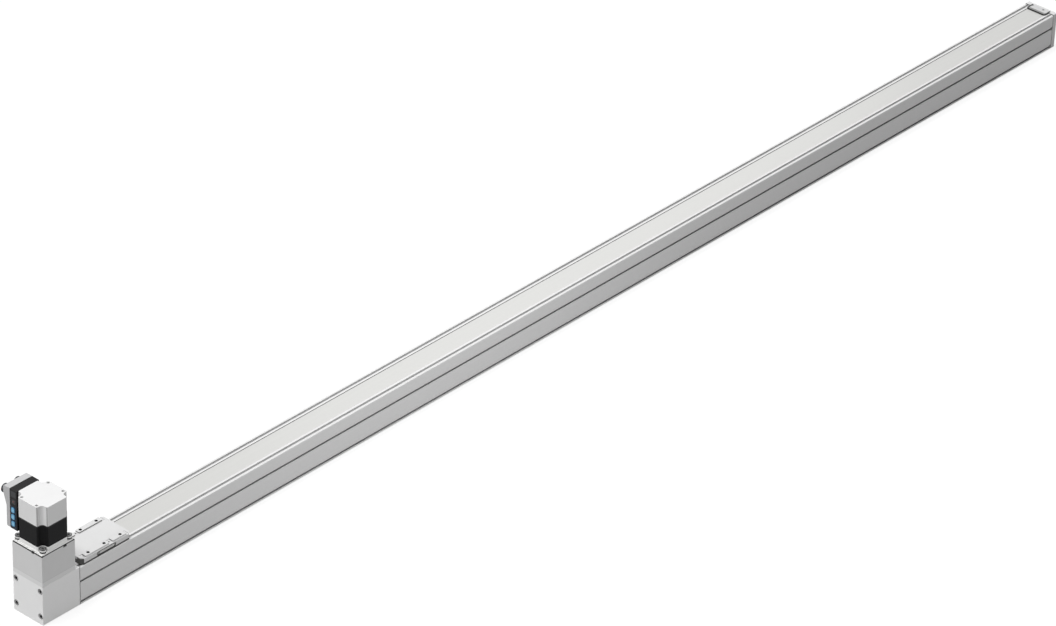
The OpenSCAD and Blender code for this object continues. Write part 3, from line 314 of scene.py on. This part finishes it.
def platedHead(finish, colour, mask, dark):
    # a plated screw head with painted shade where the mask says
    look = {
        "speck": (900, 3.0, 0.6), "low": 0.85, "high": 1.1,
        "rough": 0.3, "roughSpread": 0.15, "depth": 0.00001, "strength": 0.4,
    }
    speck = finish.noise(*look["speck"])
    plain = finish.mix(mask, finish.tones(speck, colour, look), dark)
    return finish.complete(plain, look["rough"] + speck * look["roughSpread"], speck, look)


def endScrewSteel(name, node, head, socket):
    # the heads stand in the corners of the end face, with painted shade in the socket and on the rim
    look = {"colour": shade(176, 176, 176), "dark": shade(30, 31, 32), "rim": 0.0008}
    finish = Finish(name, {"Metallic": 0.6})
    low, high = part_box(node)
    fromY = abs(finish.axis("Y")) - (high.y - head)
    fromZ = abs(finish.axis("Z") - (low.z + high.z) / 2) - ((high.z - low.z) / 2 - head)
    reach = fromY * fromY + fromZ * fromZ
    mask = (reach < socket ** 2) + (reach > (head - look["rim"]) ** 2)
    return platedHead(finish, look["colour"], mask, look["dark"])


def socketScrewSteel(name, node, bolt, head, socket, deep, foot=None):
    # the heads stand round the motor's axis, with painted shade in the socket and on the rim and a painted
    # shadow at the foot
    look = {"colour": shade(206, 206, 206), "dark": shade(24, 24, 25), "rimShare": 0.2, "hollow": 0.5}
    finish = Finish(name, {"Metallic": 0.6})
    across, over, up = finish.axes()
    fromX, fromY = abs(across) - bolt[0], abs(over) - bolt[1]
    reach = fromX * fromX + fromY * fromY
    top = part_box(node)[1].z
    rim = head * look["rimShare"]
    mask = (reach < socket ** 2) * (up > top - deep) * look["hollow"]
    edge = up > top - rim
    if foot:
        edge = edge + (up < top - foot)
    mask = mask + (reach > (head - rim) ** 2) * edge
    return platedHead(finish, look["colour"], mask, look["dark"])


def laminatedStack(name):
    look = {
        "colour": shade(15, 15, 16), "low": 0.75, "high": 1.3, "sheet": 0.0005,
        "paint": ((120, 120, 900), 3.0, 0.6), "sheetShare": 0.7, "paintShare": 0.3,
        "rough": 0.42, "roughSpread": 0.16, "depth": 0.00005, "strength": 0.5,
    }
    finish = Finish(name, {"Metallic": 0.0, "Specular IOR Level": 0.08})
    paint = finish.noise(*look["paint"])
    height = finish.ridges(look["sheet"]) * look["sheetShare"] + paint * look["paintShare"]
    plain = finish.tones(paint, look["colour"], look)
    return finish.complete(plain, look["rough"] + paint * look["roughSpread"], height, look)


def mouldedPlastic(name, colour, rough, grain=0.0004, depth=0.00003):
    look = {
        "cloud": (50, 3.0, 0.5), "share": 0.5, "low": 0.9, "high": 1.1,
        "roughSpread": 0.1, "depth": depth, "strength": 0.5,
    }
    finish = Finish(name, {"Metallic": 0.0, "Specular IOR Level": 0.2})
    pits, cloud = finish.cells(1 / grain), finish.noise(*look["cloud"])
    plain = finish.tones(pits * look["share"] + cloud * look["share"], colour, look)
    rough = rough - look["roughSpread"] / 2
    return finish.complete(plain, rough + cloud * look["roughSpread"], pits, look)


def softRubber(name, colour, rough=0.75):
    look = {
        "skin": (700, 4.0, 0.65), "skinShare": 0.6, "skinTint": 1.25,
        "dust": (90, 3.0, 0.6), "dustShare": 0.4, "dustColour": tint(shade(120, 118, 114), 0.5),
        "roughSpread": 0.15, "depth": 0.00005, "strength": 0.5,
    }
    finish = Finish(name, {"Metallic": 0.0, "Specular IOR Level": 0.25})
    skin, dust = finish.noise(*look["skin"]), finish.noise(*look["dust"])
    dusty = finish.mix(dust * look["dustShare"], colour, look["dustColour"])
    plain = finish.mix(skin * look["skinShare"], dusty, tint(colour, look["skinTint"]))
    return finish.complete(plain, rough + skin * look["roughSpread"], skin, look)


def beltPolymer(name):
    look = {
        "colour": shade(34, 34, 35), "low": 0.8, "high": 1.3, "cord": 0.0009,
        "fabric": (1400, 2.0, 0.5), "share": 0.5,
        "rough": 0.55, "roughSpread": 0.15, "depth": 0.00006, "strength": 0.5,
    }
    finish = Finish(name, {"Metallic": 0.0, "Specular IOR Level": 0.3})
    fabric = finish.noise(*look["fabric"])
    height = finish.ridges(look["cord"]) * look["share"] + fabric * look["share"]
    plain = finish.tones(fabric, look["colour"], look)
    return finish.complete(plain, look["rough"] + fabric * look["roughSpread"], height, look)


def copperWire(name):
    look = {
        "colour": shade(186, 104, 62), "dark": shade(120, 58, 30), "wire": 0.0006,
        "lacquer": (160, 2.0, 0.5), "wireShare": 0.6, "lacquerShare": 0.4,
        "rough": 0.28, "roughSpread": 0.15, "depth": 0.0001, "strength": 0.6,
    }
    finish = Finish(name, {"Metallic": 0.8})
    strand, lacquer = finish.ridges(look["wire"]), finish.noise(*look["lacquer"])
    tone = strand * look["wireShare"] + lacquer * look["lacquerShare"]
    plain = finish.mix(tone, look["dark"], look["colour"])
    return finish.complete(plain, look["rough"] + lacquer * look["roughSpread"], strand, look)


def circuitBoard(name):
    look = {
        "mask": shade(24, 84, 50), "track": shade(52, 128, 84), "pad": shade(190, 168, 96),
        "trackScale": 420, "trackWidth": 0.06, "padScale": 260, "padSize": 0.14,
        "rough": 0.35, "roughSpread": 0.1, "depth": 0.00003, "strength": 0.3,
    }
    finish = Finish(name, {"Metallic": 0.0})
    cells = finish.cells(look["trackScale"], "DISTANCE_TO_EDGE")
    tracks = cells < look["trackWidth"]
    board = finish.mix(tracks, look["mask"], look["track"])
    board = finish.mix(finish.cells(look["padScale"]) < look["padSize"], board, look["pad"])
    return finish.complete(board, look["rough"] + tracks * look["roughSpread"], cells, look)


def printedFoil(name, colour, node=None):
    # a key gets a painted highlight, paler towards its middle
    look = {
        "haze": (140, 3.0, 0.5), "low": 0.85, "high": 1.15, "paintedHighlight": shade(140, 196, 226), "highlightFalloff": 0.9,
        "fine": (2600, 2.0, 0.5), "rough": 0.34, "roughSpread": 0.12, "depth": 0.00001, "strength": 0.4,
    }
    finish = Finish(name, {"Metallic": 0.0, "Specular IOR Level": 0.2})
    fine = finish.noise(*look["fine"])
    plain = finish.tones(finish.noise(*look["haze"]), colour, look)
    if node:
        low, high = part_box(node)
        over = (finish.axis("Y") - (low.y + high.y) / 2) * (2 / (high.y - low.y))
        up = (finish.axis("Z") - (low.z + high.z) / 2) * (2 / (high.z - low.z))
        # painted highlight in the middle of the key
        plain = finish.mix((over * over + up * up) * look["highlightFalloff"], look["paintedHighlight"], plain)
    return finish.complete(plain, look["rough"] + fine * look["roughSpread"], fine, look)


def darkPane(name):
    look = {
        "colour": shade(22, 25, 28), "streak": shade(36, 40, 43), "smear": ((120, 120, 60), 3.0, 0.5),
        "rough": 0.12, "roughSpread": 0.1, "coat": 0.08,
    }
    coat = {"Coat Weight": look["coat"], "Coat Roughness": look["coat"]}
    finish = Finish(name, {"Metallic": 0.0, "Specular IOR Level": 0.25, **coat})
    smear = finish.noise(*look["smear"])
    finish.feed("Base Color", finish.mix(smear, look["colour"], look["streak"]))
    finish.feed("Roughness", look["rough"] + smear * look["roughSpread"])
    return finish.material


# ---------- masks of the dark parts ----------

seams = {"width": 0.00118, "shy": 0.00002, "joint": 0.001}


def housingSeam(finish):
    # painted shade in the recess at the housing's joint with the profile
    along, end = finish.axis("X"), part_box("drive_housing")[1].x
    return (along > end - seams["width"]) * (along < end - seams["shy"])


def capSeam(finish):
    # painted shade in the recess at the end cap's joint with the profile
    along, start = finish.axis("X"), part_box("end_cap")[0].x
    return (along > start + seams["shy"]) * (along < start + seams["width"])


def towerSeam(finish):
    # the black joint under the motor's flange, with the two notches for prising it off, and painted shade
    # along the tower's foot
    part = {
        "width": 0.0018, "frontY": -0.0114, "frontWide": 0.005, "frontDeep": 0.0033,
        "sideX": 0.013, "sideWide": 0.0066, "sideDeep": 0.0048, "cut": 0.005, "footShade": 0.09,
    }
    along, across, up = finish.axes()
    low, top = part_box("coupling_housing")
    ring = (up > top.z - part["width"]) * (up < top.z - seams["shy"])
    front = (abs(across - part["frontY"]) < part["frontWide"] / 2) * (along < low.x + part["cut"])
    side = (abs(along - part["sideX"]) < part["sideWide"] / 2) * (across < low.y + part["cut"])
    notches = front * (up > top.z - part["frontDeep"]) + side * (up > top.z - part["sideDeep"])
    # painted shade along the tower's foot
    return ring + notches + (up < low.z + seams["joint"]) * part["footShade"]


def neckFoot(finish):
    # painted shade along the neck plate's foot
    part = {"shade": 0.14}
    return (finish.axis("Z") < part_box("neck_plate")[0].z + seams["joint"]) * part["shade"]


def clampNose(finish):
    # painted shade on the far clamp's sloping nose and on the ends where it meets the profile
    part = {"nose": 0.0036, "noseShade": 0.62, "end": 0.003}
    low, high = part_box("band_clamp_far")
    nose = (finish.axis("X") < low.x + part["nose"]) * part["noseShade"]
    return nose + (abs(finish.axis("Y")) > high.y - part["end"])


def slideRecesses(finish):
    # painted shade on the walls and mouths of the holes, on the pads' steps and in the side pockets, and a
    # black line along the foot
    part = {
        "foot": 0.0032, "mouth": 0.0004, "mouthDeep": 0.004, "skin": 0.00035, "round": 0.0012,
        "level": 0.00008, "coverRise": 0.0004, "stepShade": 0.55, "pocketShade": 0.45, "holeShade": 0.55,
    }
    low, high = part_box("slide_body")
    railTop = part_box("slide_cover")[1].z - part["coverRise"]
    along, across, up = finish.axes()
    out = abs(across)
    within = (along > low.x + part["skin"]) * (along < high.x - part["skin"])
    steps = (out < high.y - part["round"]) * (up < high.z - part["level"])
    steps = steps * (abs(up - railTop) > part["level"]) * (up > railTop - part["round"])
    pockets = (out < high.y - part["skin"]) * (up < railTop - part["round"])
    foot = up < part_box("profile")[1].z + part["foot"]
    fromHole, fromMiddle = out - holeY, abs(along - slideMiddle)
    fromEnd = fromMiddle - holeX
    reach = (holeRadius + part["mouth"]) ** 2
    middleMouth = fromMiddle * fromMiddle + fromHole * fromHole < reach
    endMouth = fromEnd * fromEnd + fromHole * fromHole < reach
    mouths = (middleMouth + endMouth) * (up > high.z - part["mouthDeep"])
    inner = out < holeY + holeRadius + part["mouth"]
    pockets = pockets * (inner * part["holeShade"] + part["pocketShade"])
    return (steps * part["stepShade"] + pockets) * within + foot + mouths


def insertShade(finish):
    # the pocket's walls throw their shade on the insert's upper edge and on its near end
    part = {"edge": 0.0011, "edgeShade": 0.85, "end": 0.0036, "endShade": 0.5}
    low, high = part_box("side_inserts")
    edge = (finish.axis("Z") > high.z - part["edge"]) * part["edgeShade"]
    return edge + (finish.axis("X") < low.x + part["end"]) * part["endShade"]


def lidCorners(finish):
    # painted shade on the small steps on both sides of the four corner recesses, and the black joint at the
    # foot
    part = {"out": 0.0292, "along": 0.0193, "half": 0.0011, "below": 0.0003, "shade": 0.55, "gasket": 0.0016}
    low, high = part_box("motor_lid")
    outX, outY = abs(finish.axis("X")), abs(finish.axis("Y"))
    up = finish.axis("Z")
    one = (abs(outX - part["out"]) < part["half"]) * (abs(outY - part["along"]) < part["half"])
    other = (abs(outY - part["out"]) < part["half"]) * (abs(outX - part["along"]) < part["half"])
    return (one + other) * (up < high.z - part["below"]) * part["shade"] + (up < low.z + part["gasket"])


# ---------- which node wears which finish ----------

finishOf = {
    "extruded": extrudedAluminium("extrudedAluminium", shade(217, 217, 217), metal=0.15),
    "slide": blastedAluminium("slideAluminium", shade(202, 202, 202), metal=0.2, rough=0.42,
                              jointsAndPaintedShade=slideRecesses),
    "slideCover": blastedAluminium("slideCoverAluminium", shade(203, 203, 203), metal=0.2, rough=0.42),
    "machined": blastedAluminium("machinedAluminium", shade(150, 151, 152), metal=0.5, rough=0.4),
    "housing": blastedAluminium("housingAluminium", shade(229, 229, 229), metal=0.15, jointsAndPaintedShade=housingSeam),
    "cap": blastedAluminium("capAluminium", shade(205, 205, 205), metal=0.15, jointsAndPaintedShade=capSeam),
    "tower": blastedAluminium("towerAluminium", shade(203, 203, 203), metal=0.15, jointsAndPaintedShade=towerSeam),
    "insert": blastedAluminium("insertAluminium", shade(196, 196, 195), metal=0.2, jointsAndPaintedShade=insertShade),
    # painted light: the near clamp is coloured lighter than the far one against the tower's shade
    "nearClamp": blastedAluminium("nearClampPaintedLightAluminium", shade(236, 236, 236), metal=0.1),
    "farClamp": blastedAluminium("farClampAluminium", shade(192, 192, 192), metal=0.15, jointsAndPaintedShade=clampNose),
    "neck": blastedAluminium("neckAluminium", shade(213, 213, 213), metal=0.15, jointsAndPaintedShade=neckFoot),
    "flange": blastedAluminium("flangeAluminium", shade(228, 228, 227), metal=0.2),
    "lid": blastedAluminium("lidAluminium", shade(216, 216, 216), metal=0.12, rough=0.5,
                            jointsAndPaintedShade=lidCorners),
    "hub": blastedAluminium("hubAluminium", shade(190, 192, 194), metal=0.7, rough=0.32),
    "band": bandSteel("bandSteel"),
    "ground": groundSteel("groundSteel", shade(196, 198, 200), rough=0.18),
    "rotor": groundSteel("rotorSteel", shade(120, 122, 126), rough=0.34),
    "screw": screwSteel("screwSteel", shade(128, 130, 132), worn=shade(205, 205, 203)),
    "endScrew": endScrewSteel("endScrewSteel", "housing_screws", head=0.0043, socket=0.0026),
    "motorScrew": socketScrewSteel("motorScrewSteel", "motor_screws", bolt=(0.025, 0.025), head=0.0048,
                                   socket=0.0036, deep=0.0036, foot=0.0035),
    "lidScrew": socketScrewSteel("lidScrewSteel", "lid_screws", bolt=(0.0254, 0.015), head=0.0022,
                                 socket=0.0011, deep=0.002),
    "stack": laminatedStack("laminatedStack"),
    "copper": copperWire("copperWire"),
    "magnet": groundSteel("magnetCoat", shade(78, 79, 82), rough=0.4),
    "board": circuitBoard("circuitBoard"),
    "spider": mouldedPlastic("spiderPolymer", shade(176, 44, 34), rough=0.42),
    "belt": beltPolymer("beltPolymer"),
    "rubber": softRubber("bufferRubber", shade(30, 30, 30)),
    "wiper": softRubber("wiperFelt", shade(92, 92, 91), rough=0.8),
    "guide": mouldedPlastic("guidePolymer", shade(52, 53, 55), rough=0.5),
    "controllerBlack": mouldedPlastic("controllerBlack", shade(17, 16, 17), rough=0.6),
    "cover": mouldedPlastic("coverGrey", shade(185, 185, 186), rough=0.45, grain=0.0006, depth=0.00004),
    "keypad": printedFoil("keypadBlue", shade(10, 30, 48)),
    "keyUp": printedFoil("keyUpBlue", shade(62, 132, 180), "key_up"),
    "keySet": printedFoil("keySetBlue", shade(62, 132, 180), "key_set"),
    "keyDown": printedFoil("keyDownBlue", shade(62, 132, 180), "key_down"),
    "pane": darkPane("darkPane"),
    "lens": printedFoil("lensRed", shade(92, 66, 66)),
    # painted shade: the threads in the slide's holes are coloured near black for the shade inside the holes
    "thread": softRubber("threadPaintedShade", shade(20, 20, 20), rough=0.7),
    "connector": screwSteel("connectorNickel", shade(74, 75, 77), worn=shade(120, 120, 120)),
}

wornBy = {
    "extruded": ["profile"],
    "slide": ["slide_body"],
    "slideCover": ["slide_cover"],
    "machined": ["idler_block", "belt_clamp"],
    "nearClamp": ["band_clamp_near"],
    "farClamp": ["band_clamp_far"],
    "insert": ["side_inserts"],
    "housing": ["drive_housing"],
    "cap": ["end_cap"],
    "tower": ["coupling_housing"],
    "neck": ["neck_plate"],
    "flange": ["motor_flange"],
    "lid": ["motor_lid"],
    "hub": ["drive_pulley", "coupling_hub_lower", "coupling_hub_upper", "idler_pulley"],
    "ground": ["motor_bearings", "shaft_bearings", "guide_rail", "idler_axle", "carriage_block",
               "carriage_balls", "drive_shaft", "motor_shaft", "idler_bearings"],
    "rotor": ["rotor"],
    "motorScrew": ["motor_screws"],
    "lidScrew": ["lid_screws"],
    "endScrew": ["housing_screws"],
    "screw": ["rail_screws", "clamp_screws", "cap_screws", "tension_screws", "cover_screws",
              "carriage_screws", "belt_clamp_screws"],
    "stack": ["motor_stator"],
    "copper": ["motor_windings"],
    "magnet": ["magnet_strips", "encoder_magnet"],
    "board": ["encoder_board", "controller_boards"],
    "spider": ["coupling_spider"],
    "belt": ["toothed_belt"],
    "rubber": ["buffer_near", "buffer_far"],
    "wiper": ["wipers"],
    "guide": ["band_guides", "carriage_caps"],
    "controllerBlack": ["controller_housing"],
    "cover": ["controller_cover"],
    "keypad": ["keypad"],
    "keyUp": ["key_up"],
    "keySet": ["key_set"],
    "keyDown": ["key_down"],
    "pane": ["display_window"],
    "connector": ["connectors"],
    "band": ["cover_band"],
}


def wear(piece, finish):
    piece.data.materials.clear()
    piece.data.materials.append(finish)


for finishName, members in wornBy.items():
    for member in members:
        wear(nodes[member], finishOf[finishName])
print("finishes made:", len(finishOf), "for", sum(len(members) for members in wornBy.values()), "nodes")


# ---------- ways to work on a piece ----------

def begin(name):
    # the primitive just added becomes a named piece in edit mode
    piece = bpy.context.object
    piece.name = name
    piece.data.name = name
    bpy.ops.object.mode_set(mode="EDIT")
    return piece


def pickEdges(piece, test):
    # selects the edges whose middle passes the test
    bpy.ops.mesh.select_mode(type="EDGE")
    bpy.ops.mesh.select_all(action="DESELECT")
    form = bmesh.from_edit_mesh(piece.data)
    for edge in form.edges:
        middle = (edge.verts[0].co + edge.verts[1].co) / 2
        if test(piece.matrix_world @ middle):
            edge.select_set(True)
    form.select_flush_mode()
    bmesh.update_edit_mesh(piece.data)


def end(piece, finish):
    # back to object mode, with the place in the mesh
    bpy.ops.object.mode_set(mode="OBJECT")
    bpy.ops.object.transform_apply(location=True, rotation=True, scale=True)
    wear(piece, finish)
    bpy.ops.object.select_all(action="DESELECT")


def choose(piece):
    # the operators that follow work on this piece alone
    bpy.ops.object.select_all(action="DESELECT")
    piece.select_set(True)
    bpy.context.view_layer.objects.active = piece


def settle(piece, kind, **settings):
    # adds a modifier and applies it
    choose(piece)
    bpy.ops.object.modifier_add(type=kind)
    modifier = piece.modifiers[-1]
    for name, value in settings.items():
        setattr(modifier, name, value)
    bpy.ops.object.modifier_apply(modifier=modifier.name)
    bpy.ops.object.select_all(action="DESELECT")


def smoothen(piece, degrees):
    choose(piece)
    bpy.ops.object.shade_smooth_by_angle(angle=math.radians(degrees))
    bpy.ops.object.select_all(action="DESELECT")


def copyOf(piece, name, shift):
    # another piece with its own mesh, moved by its points
    twin = piece.copy()
    twin.data = piece.data.copy()
    twin.name = name
    twin.data.name = name
    scene.collection.objects.link(twin)
    twin.data.transform(Matrix.Translation(shift))
    return twin


# ---------- cover band ----------

bandLow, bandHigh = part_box("cover_band")
bandPlan = {
    "thickness": 0.0005,
    "crownHalf": 0.023,
    "ramp": 0.018,
    "rampSteps": 12,
    "nearHold": 0.0076,
    "farHold": 0.0304,
    "blendRoom": 0.0005,
    "sameLine": 1e-6,
    "smooth": 30,
}


def bandRoute(fromX, toX, side):
    # points along the middle of the band, from its end to the slide's middle
    level = bandLow.z + bandPlan["thickness"] / 2
    rise = bandHigh.z - bandLow.z - bandPlan["thickness"]
    points = [(fromX, level), (toX, level)]
    foot = slideMiddle + side * (bandPlan["crownHalf"] + bandPlan["ramp"])
    for step in range(bandPlan["rampSteps"] + 1):
        share = step / bandPlan["rampSteps"]
        lift = rise * (1 - math.cos(math.pi * share)) / 2
        points.append((foot - side * bandPlan["ramp"] * share, level + lift))
    points.append((slideMiddle, level + rise))
    return points


def bandStrip(name, route):
    # a plane from the band's end to its hold, drawn on along the route and then given its thickness
    (endX, level), (holdX, level) = route[:2]
    middle = ((endX + holdX) / 2, 0, level)
    bpy.ops.mesh.primitive_plane_add(size=1, location=middle)
    strip = begin(name)
    bpy.ops.transform.resize(value=(abs(holdX - endX), bandHigh.y - bandLow.y, 1), center_override=middle)
    pickEdges(strip, lambda at: abs(at.x - holdX) < bandPlan["sameLine"])
    for before, after in zip(route[1:], route[2:]):
        move = (after[0] - before[0], 0, after[1] - before[1])
        bpy.ops.mesh.extrude_region_move(TRANSFORM_OT_translate={"value": move})
    bpy.ops.mesh.select_all(action="SELECT")
    bpy.ops.mesh.normals_make_consistent(inside=False)
    end(strip, finishOf["band"])
    settle(strip, "SOLIDIFY", thickness=bandPlan["thickness"], offset=0)
    smoothen(strip, bandPlan["smooth"])
    return strip


nearHold = bandLow.x + bandPlan["nearHold"]
farHold = bandHigh.x - bandPlan["farHold"]
bandNear = bandStrip("coverBandNear", bandRoute(bandLow.x, nearHold, -1))
bandFar = bandStrip("coverBandFar", bandRoute(bandHigh.x, farHold, 1))
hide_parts("cover_band")
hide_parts("cover_band")
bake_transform(bandNear)
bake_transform(bandFar)
print("cover band made")


# ---------- threads and the status lens ----------

# side is -1 on the wall of a hole and 1 on the outside of a shell, below counts turns under the mouth
ridgePlan = {"steps": 20, "crest": 0.55, "share": 0.5, "weld": 0.000001}
holeThread = {"side": -1, "pitch": 0.0008, "turns": 10, "below": 1}
shellThread = {"side": 1, "pitch": 0.001, "turns": 4, "below": 0.6}


def threadRidge(name, finish, radius, thread):
    # a three-sided ridge wound round the Z axis
    side, size = thread["side"], thread["pitch"] * ridgePlan["share"]
    facing = Matrix(((0, side, 0), (0, 0, side), (1, 0, 0))).to_euler()
    middle = (radius + side * size / 2, 0, 0)
    bpy.ops.mesh.primitive_circle_add(vertices=3, radius=size, location=middle, rotation=facing)
    ridge = begin(name)
    bpy.ops.transform.resize(value=(ridgePlan["crest"], 1, 1), center_override=(radius, 0, 0))
    end(ridge, finish)
    settle(ridge, "SCREW", axis="Z", steps=ridgePlan["steps"], render_steps=ridgePlan["steps"],
           angle=2 * math.pi, screw_offset=thread["pitch"], iterations=thread["turns"])
    choose(ridge)
    bpy.ops.object.mode_set(mode="EDIT")
    bpy.ops.mesh.select_all(action="SELECT")
    bpy.ops.mesh.remove_doubles(threshold=ridgePlan["weld"])
    bpy.ops.mesh.fill_holes(sides=3)
    bpy.ops.mesh.normals_make_consistent(inside=False)
    bpy.ops.object.mode_set(mode="OBJECT")
    bpy.ops.object.select_all(action="DESELECT")
    return ridge


def threadFoot(mouth, thread):
    return mouth - thread["pitch"] * (thread["turns"] + thread["below"])


holeFoot = threadFoot(holes["pos_m"][2], holeThread)
sleeve = threadRidge("slideThread", finishOf["thread"], holeRadius, holeThread)
for across, y in (("Front", -holeY), ("Rear", holeY)):
    for along, x in (("Near", -holeX), ("Middle", 0), ("Far", holeX)):
        thread = copyOf(sleeve, "slideThread" + across + along, (slideMiddle + x, y, holeFoot))
        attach(thread, "slide")
bpy.data.objects.remove(sleeve)

plugLow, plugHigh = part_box("connectors")
shellRadius = (plugHigh.z - plugLow.z) / 2
shellFoot = threadFoot(plugHigh.y, shellThread)
shell = threadRidge("plugThread", finishOf["connector"], shellRadius, shellThread)
shell.data.transform(Matrix.Rotation(math.radians(-90), 4, "X"))
for name, x in (("plugThreadPower", plugLow.x + shellRadius), ("plugThreadLogic", plugHigh.x - shellRadius)):
    thread = copyOf(shell, name, (x, shellFoot, (plugLow.z + plugHigh.z) / 2))
    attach(thread, "base")
bpy.data.objects.remove(shell)

lensPlan = {
    "radius": 0.0019,
    "rise": 0.00025,
    "aboveFoot": 0.0038,
    "aside": 0.0004,
    "segments": 28,
    "rings": (1.0, 0.7, 0.4),
    "narrowest": 0.55,
    "narrowing": 0.35,
    "smooth": 50,
}
paneLow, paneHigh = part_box("display_window")
lensY = (paneLow.y + paneHigh.y) / 2 - lensPlan["aside"]
lensAt = (paneLow.x, lensY, paneLow.z + lensPlan["aboveFoot"])
bpy.ops.mesh.primitive_circle_add(
    vertices=lensPlan["segments"], radius=lensPlan["radius"], fill_type="NGON",
    location=lensAt, rotation=(0, math.radians(-90), 0),
)
lens = begin("statusLens")
for share in lensPlan["rings"]:
    rise, width = lensPlan["rise"] * share, lensPlan["narrowest"] + lensPlan["narrowing"] * share
    bpy.ops.mesh.extrude_region_move(TRANSFORM_OT_translate={"value": (-rise, 0, 0)})
    bpy.ops.transform.resize(value=(1, width, width), center_override=lensAt)
bpy.ops.mesh.select_all(action="SELECT")
bpy.ops.mesh.normals_make_consistent(inside=False)
end(lens, finishOf["lens"])
smoothen(lens, lensPlan["smooth"])
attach(lens, "base")
print("threads and lens made")


# ---------- floor and light ----------

floorPlan = {
    "size": 60.0,
    "middle": 1.1,
    "drop": 0.0004,
    "cuts": 3,
    "rough": 0.95,
    "bounce": 0.22,
    "paint": 0.93,
    "glow": 0.8,
}


def grey(value):
    return (value, value, value, 1)


def floorPaint(name):
    # nearly white to the camera, darker to the light that it throws back, and clear from below
    finish = Finish(name, {"Roughness": floorPlan["rough"], "Specular IOR Level": 0.0})
    seen = finish.seenDirectly()
    finish.feed("Base Color", finish.mix(seen, grey(floorPlan["bounce"]), grey(floorPlan["paint"])))
    glow = finish.node("Emission", {}, {"Color": grey(1), "Strength": 1.0})
    painted = Link(finish, finish.shader.outputs[0])
    lit = finish.node("MixShader", {}, {0: seen * floorPlan["glow"], 1: painted, 2: glow})
    clear = finish.node("BsdfTransparent")
    under = Link(finish, finish.tree.nodes.new("ShaderNodeNewGeometry").outputs["Backfacing"])
    whole = finish.node("MixShader", {}, {0: under, 1: lit, 2: clear})
    finish.join(whole, finish.tree.nodes["Material Output"].inputs["Surface"])
    return finish.material


floorAt = (floorPlan["middle"], 0, -floorPlan["drop"])
bpy.ops.mesh.primitive_plane_add(size=floorPlan["size"], location=floorAt)
floor = begin("studioFloor")
bpy.ops.mesh.subdivide(number_cuts=floorPlan["cuts"])
end(floor, floorPaint("floorPaint"))

airPlan = {"light": 0.15}

world = bpy.data.worlds.new("studioAir")
scene.world = world
world.use_nodes = True
air = Wiring(world.node_tree)
backdrop = world.node_tree.nodes["Background"]
backdrop.inputs["Color"].default_value = grey(1)
brightness = airPlan["light"] + air.seenDirectly() * (1 - airPlan["light"])
air.join(brightness, backdrop.inputs["Strength"])


def lamp(name, kind, power):
    data = bpy.data.lights.new(name, kind)
    data.energy = power
    made = bpy.data.objects.new(name, data)
    scene.collection.objects.link(made)
    made.visible_camera = False
    return made


sunPlan = {"strength": 3.25, "lean": 9.0, "turn": 150.0, "soft": 24.0}

sun = lamp("skyKey", "SUN", sunPlan["strength"])
sun.data.angle = math.radians(sunPlan["soft"])
sun.matrix_world = (
    Matrix.Rotation(math.radians(sunPlan["turn"] + 90), 4, "Z")
    @ Matrix.Rotation(math.radians(sunPlan["lean"]), 4, "X")
)

softboxes = {
    "sideSoftbox": {
        "place": (0.78, -0.66, 0.36), "aim": (0.78, 0.0, 0.04), "size": (0.6, 0.3), "power": 1.65,
    },
    "nearSoftbox": {
        "place": (-0.2, -1.6, 0.7), "aim": (0.0, 0.0, 0.08), "size": (0.8, 0.8), "power": 4.4,
    },
    "endSoftbox": {
        "place": (-1.6, 0.35, 0.5), "aim": (0.0, 0.0, 0.09), "size": (0.8, 0.6), "power": 11.0,
    },
    "skySoftbox": {
        "place": (3.1, 1.66, 1.65), "aim": (1.2, 0.0, 0.06), "size": (1.3, 1.3), "power": 1.85,
    },
}

for name, plan in softboxes.items():
    box = lamp(name, "AREA", plan["power"])
    box.data.shape = "RECTANGLE"
    box.data.size, box.data.size_y = plan["size"]
    place = Vector(plan["place"])
    facing = (Vector(plan["aim"]) - place).to_track_quat("-Z", "Y").to_matrix().to_4x4()
    box.matrix_world = Matrix.Translation(place) @ facing
print("floor and lamps placed")
